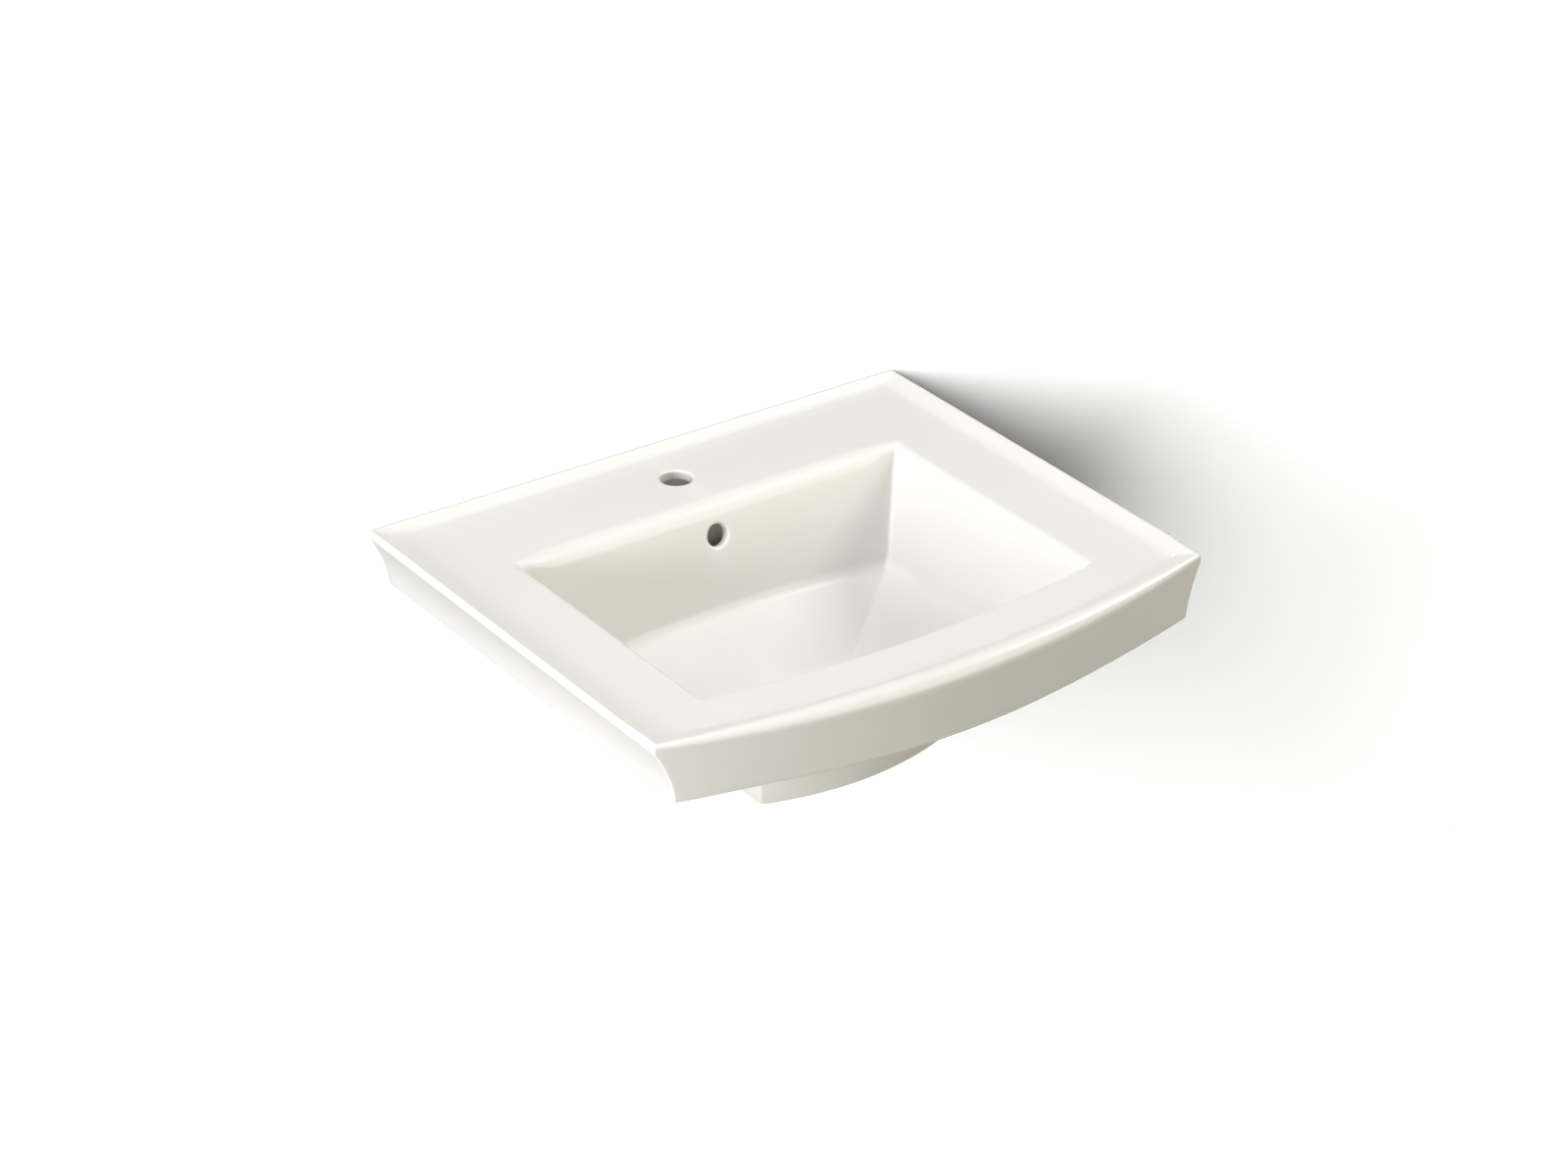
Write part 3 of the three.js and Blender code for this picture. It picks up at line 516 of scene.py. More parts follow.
across_x = Matrix(((0, 0, 1, 0), (1, 0, 0, 0), (0, 1, 0, 0), (0, 0, 0, 1)))
rib_top, rib_low = in_deck, panel_foot / 2
rib_plan = rounded_outline(
    [Vector((-0.001, rib_top)), Vector((-behind_wall(rib_top) + 0.006, rib_top)),
     Vector((-behind_wall(rib_low) + 0.006, rib_low)), Vector((-apron_wall - 0.004, panel_foot + 0.001)),
     Vector((-0.003, panel_foot + 0.001))],
    [0, 0, 0, 0.008, 0])
rib_x = panel_half - apron_wall / 2 - 0.0002
ribs = [soft_slab(f"rib_{n}", rib_plan, middle - apron_wall / 2, middle + apron_wall / 2, 0.003, across_x)
        for n, middle in enumerate((-rib_x, rib_x))]

# The overflow's channel runs down inside a trunk behind the bowl and under its floor.
channel_half, channel_gap, channel_skin, channel_wall = 0.015, 0.012, 0.010, 0.008


def behind_bowl(top, near, far, end):
    """A band in section that follows the bowl's back wall down and its floor out to the end, from
    near to far behind them."""
    run = [Vector((-behind_wall(top), top)), Vector((-behind_wall(foot_z), foot_z)),
           Vector((-flat_back, floor_z)), Vector((end, floor_z))]

    def shifted(distance):
        moved = []
        for i, here in enumerate(run):
            a = (here - run[max(i - 1, 0)]) if i else (run[1] - here)
            b = (run[min(i + 1, 3)] - here) if i < 3 else a
            a, b = a.normalized(), b.normalized()
            out = Vector((-a.y, a.x)) + Vector((-b.y, b.x))
            out.normalize()
            moved.append(here + out * distance / out.dot(Vector((-b.y, b.x))))
        return moved
    return shifted(near) + list(reversed(shifted(far)))


trunk_depth = channel_skin + channel_gap + channel_wall
trunk_half = channel_half + channel_wall
trunk_plan = rounded_outline(behind_bowl(in_deck, 0.003, trunk_depth, drain_y + 0.030),
                             [0, 0, 0, 0, 0, 0.012, 0.012, 0])
trunk = soft_slab("trunk", trunk_plan, -trunk_half, trunk_half, 0.004, across_x)
combined(basin, [collar, panel, *ribs, trunk], "UNION")

# Its holes: faucet, overflow and its channel, and hangers, each with a softened mouth.


def flared_bore(name, radius, mouth, start, end, place, flare_end=True):
    """A round cutter along z that opens out at its mouth, from start down to end."""
    profile = [(radius + mouth + 0.004, start + 0.006), (radius + mouth + 0.004, start + 0.0002)]
    profile += [(radius + mouth * (1 - sin(pi / 2 * n / 5)), start - mouth * (1 - cos(pi / 2 * n / 5)))
                for n in range(6)]
    if flare_end:
        profile += [(radius + mouth * (1 - cos(pi / 2 * n / 5)), end + mouth * (1 - sin(pi / 2 * n / 5)))
                    for n in range(6)]
        profile += [(radius + mouth + 0.004, end - 0.0002), (radius + mouth + 0.004, end - 0.006)]
    else:
        profile.append((radius, end))
    around = 56
    levels = []
    for r, z in profile:
        levels.append(([Vector((r * cos(2 * pi * n / around), r * sin(2 * pi * n / around)))
                        for n in range(around)], z))
    return lofted(name, list(reversed(levels)), place)


faucet_y = -bowl_back / 2
faucet_cut = flared_bore("faucet_cut", 0.016, 0.0022, deck_top, deck_under,
                         Matrix.Translation((0, faucet_y, 0)))
overflow_z = deck_top - 0.032
lean = atan2(wall_draft, wall_depth)
overflow_place = (Matrix.Translation((0, -behind_wall(overflow_z), overflow_z))
                  @ Matrix.Rotation(pi / 2 - lean, 4, "X"))
overflow_cut = flared_bore("overflow_cut", 0.0115, 0.0030, 0.0, -channel_skin - channel_gap / 2,
                           overflow_place, flare_end=False)
channel_top = overflow_z + 0.0135
channel_plan = rounded_outline(behind_bowl(channel_top, channel_skin, channel_skin + channel_gap, drain_y),
                               [0.004, 0, 0, 0, 0, 0.004, 0.004, 0.004])
channel_cut = soft_slab("channel_cut", channel_plan, -channel_half, channel_half, 0.003, across_x)
hanger_cuts = [flared_bore(f"hanger_cut_{n}", 0.007, 0.0015, -0.0003, -apron_wall,
                           Matrix.Translation((x, 0, hanger_z)) @ Matrix.Rotation(-pi / 2, 4, "X"))
               for n, x in enumerate((-hanger_x, hanger_x))]
combined(basin, [channel_cut, overflow_cut, faucet_cut, *hanger_cuts], "DIFFERENCE")


def crisp_above(piece, degrees):
    """Smooth shading that stops at edges sharper than an angle."""
    piece.data.polygons.foreach_set("use_smooth", [True] * len(piece.data.polygons))
    piece.data.set_sharp_from_angle(angle=radians(degrees))
    weigh = piece.modifiers.new("even_shading", "WEIGHTED_NORMAL")
    weigh.keep_sharp = True
    weigh.weight = 60


crisp_above(basin, 32)
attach(basin, "hung_basin")
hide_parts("basin")


def node_group(name, takes, gives):
    """A shader node group with named inputs, given as (name, kind, value), and named outputs."""
    group = bpy.data.node_groups.new(name, "ShaderNodeTree")
    for label, kind, value in takes:
        socket = group.interface.new_socket(label, in_out="INPUT", socket_type=f"NodeSocket{kind}")
        socket.default_value = value
    for label, kind in gives:
        group.interface.new_socket(label, in_out="OUTPUT", socket_type=f"NodeSocket{kind}")
    return group, group.nodes.new("NodeGroupInput"), group.nodes.new("NodeGroupOutput")


def add(tree, kind, links=(), **settings):
    """A node with its settings and inputs; an input is a number or colour, or another's output."""
    node = tree.nodes.new(f"ShaderNode{kind}")
    for name, value in settings.items():
        setattr(node, name, value)
    for key, value in dict(links).items():
        if isinstance(value, bpy.types.NodeSocket):
            tree.links.new(value, node.inputs[key])
        else:
            node.inputs[key].default_value = value
    return node


def value_noise(tree, where, scale, detail=2.0, roughness=0.5):
    return add(tree, "TexNoise", {"Vector": where, "Scale": scale, "Detail": detail,
                                  "Roughness": roughness}).outputs["Fac"]


def ranged(tree, value, low, high, to_low=0.0, to_high=1.0):
    return add(tree, "MapRange", {"Value": value, "From Min": low, "From Max": high,
                                  "To Min": to_low, "To Max": to_high}).outputs["Result"]


def math(tree, operation, a, b=0.0):
    return add(tree, "Math", {0: a, 1: b}, operation=operation).outputs[0]


def blended(tree, share, a, b, how="MIX"):
    node = add(tree, "Mix", {"Factor": share}, data_type="RGBA", blend_type=how)
    for key, value in ((6, a), (7, b)):
        if isinstance(value, bpy.types.NodeSocket):
            tree.links.new(value, node.inputs[key])
        else:
            node.inputs[key].default_value = value
    return node.outputs[2]


def new_material(name, **settings):
    """A material with its Principled shader's plain settings; returns tree and shader too."""
    paint = bpy.data.materials.new(name)
    paint.use_nodes = True
    shader = paint.node_tree.nodes["Principled BSDF"]
    for label, value in settings.items():
        shader.inputs[label.replace("_", " ")].default_value = value
    return paint, paint.node_tree, shader


def use_bump(tree, shader, height, strength, distance):
    bump = add(tree, "Bump", {"Height": height, "Strength": strength, "Distance": distance})
    tree.links.new(bump.outputs["Normal"], shader.inputs["Normal"])


# Glaze lies a little thicker in hollows and thinner on arrises, has the faint ripple of a sprayed
# coat, and holds a few pinholes. Patch and ripple sizes are in metres.
glaze, taken, given = node_group("glaze", [
    ("Thick glaze", "Color", (0.80, 0.79, 0.73, 1)), ("Thin glaze", "Color", (0.85, 0.84, 0.80, 1)),
    ("Patch size", "Float", 0.09), ("Ripple size", "Float", 0.006), ("Gloss", "Float", 0.2),
], [("Colour", "Color"), ("Roughness", "Float"), ("Height", "Float")])
where = add(glaze, "TexCoord").outputs["Object"]
patches = value_noise(glaze, where, math(glaze, "DIVIDE", 1.0, taken.outputs["Patch size"]), 3.0)
ripple = value_noise(glaze, where, math(glaze, "DIVIDE", 1.0, taken.outputs["Ripple size"]), 2.0)
swells = value_noise(glaze, where, 22.0, 1.0)
arris = ranged(glaze, add(glaze, "NewGeometry").outputs["Pointiness"], 0.51, 0.58)
thinness = math(glaze, "ADD", math(glaze, "MULTIPLY", ranged(glaze, patches, 0.3, 0.7), 0.35),
                math(glaze, "MULTIPLY", arris, 0.55))
colour = blended(glaze, thinness, taken.outputs["Thick glaze"], taken.outputs["Thin glaze"])
holes = add(glaze, "TexVoronoi", {"Vector": where, "Scale": 34.0}).outputs["Distance"]
pinhole = ranged(glaze, holes, 0.006, 0.010, 1.0, 0.0)
colour = blended(glaze, math(glaze, "MULTIPLY", pinhole, 0.35), colour, (0.45, 0.42, 0.36, 1))
glaze.links.new(colour, given.inputs["Colour"])
rough = math(glaze, "ADD", taken.outputs["Gloss"],
             math(glaze, "MULTIPLY", ranged(glaze, patches, 0.3, 0.7, -0.5, 0.5), 0.05))
glaze.links.new(rough, given.inputs["Roughness"])
height = math(glaze, "ADD", math(glaze, "MULTIPLY", ripple, 0.12), swells)
height = math(glaze, "SUBTRACT", height, math(glaze, "MULTIPLY", pinhole, 0.5))
glaze.links.new(height, given.inputs["Height"])

china, tree, shader = new_material("glazed_china", IOR=1.52)
coat = add(tree, "Group", node_tree=glaze)
coat.inputs["Thick glaze"].default_value = (0.745, 0.735, 0.69, 1)
coat.inputs["Thin glaze"].default_value = (0.775, 0.77, 0.74, 1)
coat.inputs["Gloss"].default_value = 0.31
spot = add(tree, "NewGeometry")
place = add(tree, "SeparateXYZ", {0: spot.outputs["Position"]})
facing = add(tree, "SeparateXYZ", {0: spot.outputs["True Normal"]})
on_wall = math(tree, "MULTIPLY", ranged(tree, facing.outputs["Y"], 0.96, 0.99),
               ranged(tree, place.outputs["Y"], -0.002, -0.001))
on_foot = math(tree, "MULTIPLY", ranged(tree, facing.outputs["Z"], -0.90, -0.98),
               ranged(tree, place.outputs["Z"], basin_low.z + 0.002, basin_low.z + 0.001))
bare = math(tree, "MAXIMUM", on_wall, on_foot)
tree.links.new(blended(tree, bare, coat.outputs["Colour"], (0.83, 0.80, 0.73, 1)),
               shader.inputs["Base Color"])
tree.links.new(math(tree, "ADD", coat.outputs["Roughness"], math(tree, "MULTIPLY", bare, 0.55)),
               shader.inputs["Roughness"])
grit = value_noise(tree, spot.outputs["Position"], 1400.0, 3.0, 0.6)
use_bump(tree, shader, math(tree, "ADD", coat.outputs["Height"],
                            math(tree, "MULTIPLY", math(tree, "MULTIPLY", grit, bare), 0.5)), 0.25, 0.0004)
basin.data.materials.clear()
basin.data.materials.append(china)

# ---- Waste body ----
# Cast brass, turned, threaded and chrome plated: a flange that sits in the basin's recess, a
# conical seat for the stopper, and a threaded tube with four slots for the overflow water.

waste_x, waste_y = (waste_low.x + waste_high.x) / 2, drain_y
waste_axis = Matrix.Translation((waste_x, waste_y, waste_high.z))
flange_radius = waste_high.x - waste_x
thread_radius = 0.021
tube_radius = 0.0185
waste_length = waste_high.z - waste_low.z


def turned_points(profile, around, wobble=None):
    """Columns about z of (radius, height) points; wobble moves a point at an angle."""
    columns = []
    for n in range(around):
        angle = -2 * pi * n / around
        column = []
        for radius, height in profile:
            if wobble:
                radius, height = wobble(radius, height, angle)
            column.append(Vector((radius * cos(angle), radius * sin(angle), height)))
        columns.append(column)
    return columns


def lathe(name, keys, around=72, place=Matrix(), wobble=None):
    """A ring turned from a closed section of (radius, height, rounding, steps) corners."""
    run = [(p.x, p.y) for p in rounded_section(keys)]
    columns = turned_points(run, around, wobble)
    return grid_solid(name, [[place @ p for p in column] for column in columns])


def lathe_solid(name, keys, around=72, place=Matrix(), wobble=None):
    """A solid turned from an open section that starts and ends on the axis."""
    run = [(p.x, p.y) for p in rounded_section(keys)]
    mesh = bmesh.new()
    low = mesh.verts.new(place @ Vector((0, 0, run[0][1])))
    high = mesh.verts.new(place @ Vector((0, 0, run[-1][1])))
    grid = [[mesh.verts.new(place @ p) for p in column]
            for column in turned_points(run[1:-1], around, wobble)]
    for i, column in enumerate(grid):
        beside = grid[(i + 1) % around]
        mesh.faces.new((low, column[0], beside[0]))
        mesh.faces.new((high, beside[-1], column[-1]))
        for k in range(len(column) - 1):
            mesh.faces.new((column[k], column[k + 1], beside[k + 1], beside[k]))
    bmesh.ops.recalc_face_normals(mesh, faces=mesh.faces)
    return finished(name, mesh)


def screw_thread(crest, depth, pitch, start, end, fade):
    """Cuts a helical V into radii near the crest, fading out at the thread's two ends."""
    def cut(radius, height, angle):
        if radius < crest - 0.0002 or not start < height < end:
            return radius, height
        phase = (height / pitch + angle / (2 * pi)) % 1
        groove = abs(2 * phase - 1)
        run_out = min((height - start) / fade, (end - height) / fade, 1)
        return radius - depth * (1 - groove) * run_out, height
    return cut


pitch, thread_depth = 0.0023, 0.0012
thread_end = -0.0065
steps_down = int((waste_length + thread_end) / pitch * 6)
wall_points = [(thread_radius, mix(-waste_length + 0.0006, thread_end, n / steps_down), 0, 0)
               for n in range(steps_down + 1)]
seat_keys = [
    (tube_radius, -waste_length, 0.0006, 2), (thread_radius, -waste_length, 0.0006, 2), *wall_points,
    (thread_radius, -0.0052, 0, 0), (thread_radius + 0.0025, -0.0027, 0.0006, 3),
    (flange_radius, -0.0027, 0.0006, 3), (flange_radius, 0, 0.0013, 6),
    (flange_radius - 0.0022, 0, 0.0015, 4), (0.0240, -0.0006, 0.0008, 4),
    (0.0195, -0.0035, 0.0012, 4), (tube_radius, -0.0048, 0.0008, 3),
    (tube_radius, -0.030, 0, 0), (tube_radius, -0.060, 0, 0),
]
waste = lathe("waste_fitting", seat_keys, 96, waste_axis,
              screw_thread(thread_radius, thread_depth, pitch, -waste_length + 0.0008, thread_end, 0.004))

slots = []
slot_top, slot_foot, slot_half = -0.009, -0.025, 0.005
for n in range(4):
    plan = rounded_outline([Vector((-slot_half, slot_foot)), Vector((slot_half, slot_foot)),
                            Vector((slot_half, slot_top)), Vector((-slot_half, slot_top))], [0.0035] * 4)
    turn = waste_axis @ Matrix.Rotation(pi / 4 + n * pi / 2, 4, "Z") @ out_from_wall
    slots.append(lofted(f"slot_{n}", [(plan, 0.016), (plan, 0.024)], turn))
combined(waste, slots, "DIFFERENCE")
crisp_above(waste, 38)

housing_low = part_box("cartridge_housing")[0]
hub_foot = housing_low.z + 0.003
hub_top = hub_foot + 0.006
spider = lathe("spider", [(0.0044, hub_foot, 0.0004, 1), (0.008, hub_foot, 0.001, 3),
                          (0.008, hub_top, 0.001, 3), (0.0044, hub_top, 0.0004, 1)],
               48, Matrix.Translation((waste_x, waste_y, 0)))
arms = []
arm_half, arm_foot, arm_top = 0.002, hub_foot + 0.0001, hub_top - 0.0001
for n in range(3):
    plan = rounded_outline([Vector((-arm_half, arm_foot)), Vector((arm_half, arm_foot)),
                            Vector((arm_half, arm_top)), Vector((-arm_half, arm_top))], [0.001] * 4, 3)
    turn = (Matrix.Translation((waste_x, waste_y, 0)) @ Matrix.Rotation(radians(120 * n), 4, "Z")
            @ out_from_wall)
    arms.append(lofted(f"arm_{n}", [(plan, 0.0065), (plan, tube_radius + 0.0008)], turn))
combined(spider, arms, "UNION")
crisp_above(spider, 38)

# Plated and polished metal shows fine straight hairlines from buffing and a haze of water marks.
# Sizes are in metres.
metal_wear, taken, given = node_group("worked metal", [
    ("Bright", "Color", (0.80, 0.81, 0.82, 1)), ("Tarnish", "Color", (0.55, 0.55, 0.55, 1)),
    ("Hairline size", "Float", 0.0006), ("Stretch", "Float", 14.0), ("Spot size", "Float", 0.008),
    ("Tarnish share", "Float", 0.2), ("Smooth", "Float", 0.08), ("Rough", "Float", 0.3),
], [("Colour", "Color"), ("Roughness", "Float"), ("Height", "Float")])
where = add(metal_wear, "TexCoord").outputs["Object"]
squeezed = add(metal_wear, "CombineXYZ", {"X": 1.0, "Y": 1.0, "Z": taken.outputs["Stretch"]})
grain_at = add(metal_wear, "VectorMath", {0: where, 1: squeezed.outputs[0]},
               operation="MULTIPLY").outputs[0]
hairlines = value_noise(metal_wear, grain_at,
                        math(metal_wear, "DIVIDE", 0.1, taken.outputs["Hairline size"]), 4.0, 0.65)
spots = value_noise(metal_wear, where,
                    math(metal_wear, "DIVIDE", 1.0, taken.outputs["Spot size"]), 4.0, 0.6)
stain = math(metal_wear, "MULTIPLY", ranged(metal_wear, spots, 0.48, 0.72), taken.outputs["Tarnish share"])
metal_wear.links.new(blended(metal_wear, stain, taken.outputs["Bright"], taken.outputs["Tarnish"]),
                     given.inputs["Colour"])
dull = math(metal_wear, "ADD", math(metal_wear, "MULTIPLY", hairlines, 0.35), stain)
dull = math(metal_wear, "MINIMUM", dull, 1.0)
span = math(metal_wear, "SUBTRACT", taken.outputs["Rough"], taken.outputs["Smooth"])
rough = math(metal_wear, "ADD", taken.outputs["Smooth"], math(metal_wear, "MULTIPLY", span, dull))
metal_wear.links.new(rough, given.inputs["Roughness"])
metal_wear.links.new(math(metal_wear, "ADD", hairlines, math(metal_wear, "MULTIPLY", spots, 0.4)),
                     given.inputs["Height"])


def metal(name, bright, tarnish, bump, **values):
    paint, tree, shader = new_material(name, Metallic=1.0)
    wear = add(tree, "Group", node_tree=metal_wear)
    wear.inputs["Bright"].default_value = (*bright, 1)
    wear.inputs["Tarnish"].default_value = (*tarnish, 1)
    for label, value in values.items():
        wear.inputs[label.replace("_", " ")].default_value = value
    tree.links.new(wear.outputs["Colour"], shader.inputs["Base Color"])
    tree.links.new(wear.outputs["Roughness"], shader.inputs["Roughness"])
    use_bump(tree, shader, wear.outputs["Height"], bump, 0.00004)
    return paint


def dress(piece, paint, body, slot, *nodes):
    """Paints a piece, sets it on its body and hides the CAD nodes it stands for."""
    piece.data.materials.clear()
    piece.data.materials.append(paint)
    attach(piece, body)
    if nodes:
        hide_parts(*nodes)
    return piece


chrome = metal("chrome_plate", (0.80, 0.81, 0.825), (0.60, 0.61, 0.62), 0.10, Smooth=0.05, Rough=0.28,
               Tarnish_share=0.12)
dress(waste, chrome, "hung_basin", "chrome_plate", "waste_body")
dress(spider, chrome, "hung_basin", "chrome_plate")

# ---- Seals and nut of the waste ----
# A flat rubber ring beds the flange in its recess. Under the boss a bevelled rubber cone, a nylon
# friction washer and a cast brass nut on the tube's thread pull the fitting down.


def dusty(name, colour, dust, grain_size, rough, bump, share=0.35, **settings):
    """Rubber or nylon: a moulded skin with a fine grain, and dust held in it."""
    paint, tree, shader = new_material(name, **settings)
    skin = add(tree, "Group", node_tree=moulded)
    skin.inputs["Colour"].default_value = (*colour, 1)
    skin.inputs["Dust"].default_value = (*dust, 1)
    skin.inputs["Grain size"].default_value = grain_size
    skin.inputs["Dust share"].default_value = share
    skin.inputs["Roughness"].default_value = rough
    tree.links.new(skin.outputs["Colour"], shader.inputs["Base Color"])
    tree.links.new(skin.outputs["Roughness"], shader.inputs["Roughness"])
    use_bump(tree, shader, skin.outputs["Height"], bump, 0.0001)
    return paint


moulded, taken, given = node_group("moulded skin", [
    ("Colour", "Color", (0.03, 0.03, 0.03, 1)), ("Dust", "Color", (0.3, 0.29, 0.27, 1)),
    ("Grain size", "Float", 0.0006), ("Dust share", "Float", 0.3), ("Roughness", "Float", 0.6),
], [("Colour", "Color"), ("Roughness", "Float"), ("Height", "Float")])
where = add(moulded, "TexCoord").outputs["Object"]
grain = value_noise(moulded, where, math(moulded, "DIVIDE", 1.0, taken.outputs["Grain size"]), 3.0, 0.6)
bloom = value_noise(moulded, where, 160.0, 4.0, 0.6)
held = math(moulded, "MULTIPLY", ranged(moulded, bloom, 0.45, 0.7), taken.outputs["Dust share"])
moulded.links.new(blended(moulded, held, taken.outputs["Colour"], taken.outputs["Dust"]),
                  given.inputs["Colour"])
moulded.links.new(math(moulded, "ADD", taken.outputs["Roughness"], math(moulded, "MULTIPLY", held, 0.25)),
                  given.inputs["Roughness"])
moulded.links.new(grain, given.inputs["Height"])

rubber = dusty("black_rubber", (0.022, 0.022, 0.023), (0.16, 0.155, 0.15), 0.0005, 0.55, 0.25)
nylon = dusty("white_nylon", (0.72, 0.71, 0.67), (0.50, 0.48, 0.43), 0.0009, 0.38, 0.12, 0.2)


def ring_for(node, name, keys_of, around=72):
    """A turned ring in the space of a CAD ring about the waste's axis."""
    low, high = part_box(node)
    return lathe(name, keys_of(low, high), around, Matrix.Translation((waste_x, waste_y, 0)))


bed = ring_for("flange_gasket", "flange_seal", lambda low, high: [
    (0.0238, low.z, 0.0003, 2), (high.x, low.z, 0.0005, 3), (high.x, high.z, 0.0005, 3),
    (0.0238, high.z, 0.0003, 2)])
dress(bed, rubber, "hung_basin", "black_rubber", "flange_gasket")
cone = ring_for("cone_gasket", "cone_seal", lambda low, high: [
    (thread_radius + 0.0003, low.z, 0.0006, 3), (high.x - 0.005, low.z, 0.0012, 4),
    (high.x, high.z - 0.003, 0.0012, 4), (high.x, high.z, 0.0009, 4),
    (high.x - 0.005, high.z, 0.0003, 2), (high.x - 0.0056, high.z - 0.0006, 0.0003, 2),
    (high.x - 0.0064, high.z - 0.0006, 0.0003, 2), (high.x - 0.007, high.z, 0.0003, 2),
    (thread_radius + 0.0003, high.z, 0.0006, 3)])
dress(cone, rubber, "hung_basin", "black_rubber", "cone_gasket")
slip = ring_for("friction_washer", "slip_washer", lambda low, high: [
    (thread_radius + 0.0003, low.z, 0.0003, 2), (high.x, low.z, 0.0005, 3),
    (high.x, high.z, 0.0005, 3), (thread_radius + 0.0003, high.z, 0.0003, 2)])
dress(slip, nylon, "hung_basin", "white_nylon", "friction_washer")


def hex_nut(name, radius_flats, bore, low, high, place, around=96, bevel=0.0012):
    """A hexagon nut whose corners are turned off to a cone at both faces."""
    corner = radius_flats / cos(pi / 6)
    drop = (corner - radius_flats) * 0.55
    columns = []
    for n in range(around):
        angle = -2 * pi * n / around
        sector = (angle % (pi / 3)) - pi / 6
        flat = radius_flats / cos(sector)
        fall = drop * (flat - radius_flats * 0.97) / (corner - radius_flats * 0.97)
        soft = bevel * 0.35
        section = [(bore, low + bevel / 2), (bore + bevel / 2, low), (radius_flats * 0.95, low),
                   (radius_flats * 0.975, low + soft * 0.15), (flat - soft, low + fall + soft * 0.1),
                   (flat, low + fall + soft), (flat, (low + high) / 2), (flat, high - fall - soft),
                   (flat - soft, high - fall - soft * 0.1), (radius_flats * 0.975, high - soft * 0.15),
                   (radius_flats * 0.95, high), (bore + bevel / 2, high), (bore, high - bevel / 2)]
        columns.append([place @ Vector((r * cos(angle), r * sin(angle), z)) for r, z in section])
    return grid_solid(name, columns)


nut_low, nut_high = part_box("back_nut")
back_nut = hex_nut("brass_nut", (nut_high.y - nut_low.y) / 2, thread_radius + 0.0003, nut_low.z, nut_high.z,
                   Matrix.Translation((waste_x, waste_y, 0)))
crisp_above(back_nut, 30)
brass = metal("raw_brass", (0.72, 0.50, 0.22), (0.32, 0.20, 0.09), 0.35, Smooth=0.22, Rough=0.5,
              Tarnish_share=0.7, Stretch=3.0, Hairline_size=0.0012, Spot_size=0.006)
dress(back_nut, brass, "hung_basin", "raw_brass", "back_nut")

# ---- Stopper ----
# A chrome dome with a rubber seal under it, on a plunger that slides in a push-to-open cartridge.
# A push latches it down and the next lets the spring lift it; it is shown down.

cap_low, cap_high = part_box("stopper_cap")
cap_radius = cap_high.x - waste_x
crown = cap_high.z
cap_rim = waste_high.z + 0.0003
bore = 0.0032
cap = lathe_solid("stopper_dome", [
    (0, crown - 0.0022, 0, 0), (bore, crown - 0.0022, 0.0003, 2), (bore, cap_low.z, 0.0003, 2),
    (0.007, cap_low.z, 0.0006, 3), (0.007, cap_rim, 0.0006, 3), (cap_radius, cap_rim, 0.0004, 3),
    (cap_radius, crown - 0.0021, 0.0011, 7), (cap_radius * 0.72, crown - 0.00075, 0.030, 5),
    (cap_radius * 0.4, crown - 0.0002, 0.060, 4), (cap_radius * 0.15, crown - 0.00002, 0, 0),
    (0, crown, 0, 0)], 96, Matrix.Translation((waste_x, waste_y, 0)))
crisp_above(cap, 38)
dress(cap, chrome, "stopper", "chrome_plate", "stopper_cap")

seal_low, seal_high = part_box("cap_seal")
seal = lathe("stopper_seal", [
    (0.0175, seal_low.z, 0.0003, 2), (0.0188, seal_low.z, 0.0005, 3),
    (seal_high.x, seal_high.z - 0.0009, 0.0004, 3), (seal_high.x, seal_high.z, 0.0003, 2),
    (0.0175, seal_high.z, 0.0003, 2)], 72, Matrix.Translation((waste_x, waste_y, 0)))
dress(seal, rubber, "stopper", "black_rubber", "cap_seal")



def paint_node(node, paint):
    """Paints a CAD piece that keeps its own mesh."""
    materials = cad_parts[node].data.materials
    materials.clear()
    materials.append(paint)


for node in ("plunger", "index_rotor", "cartridge_housing", "cartridge_lid"):
    paint_node(node, nylon)

# ---- Hanger bolts ----
# Zinc-plated steel hanger bolts, with a wood thread in the wall's timber and a machine thread
# through the panel. Each has a rubber washer against the china, a steel washer and a nut.

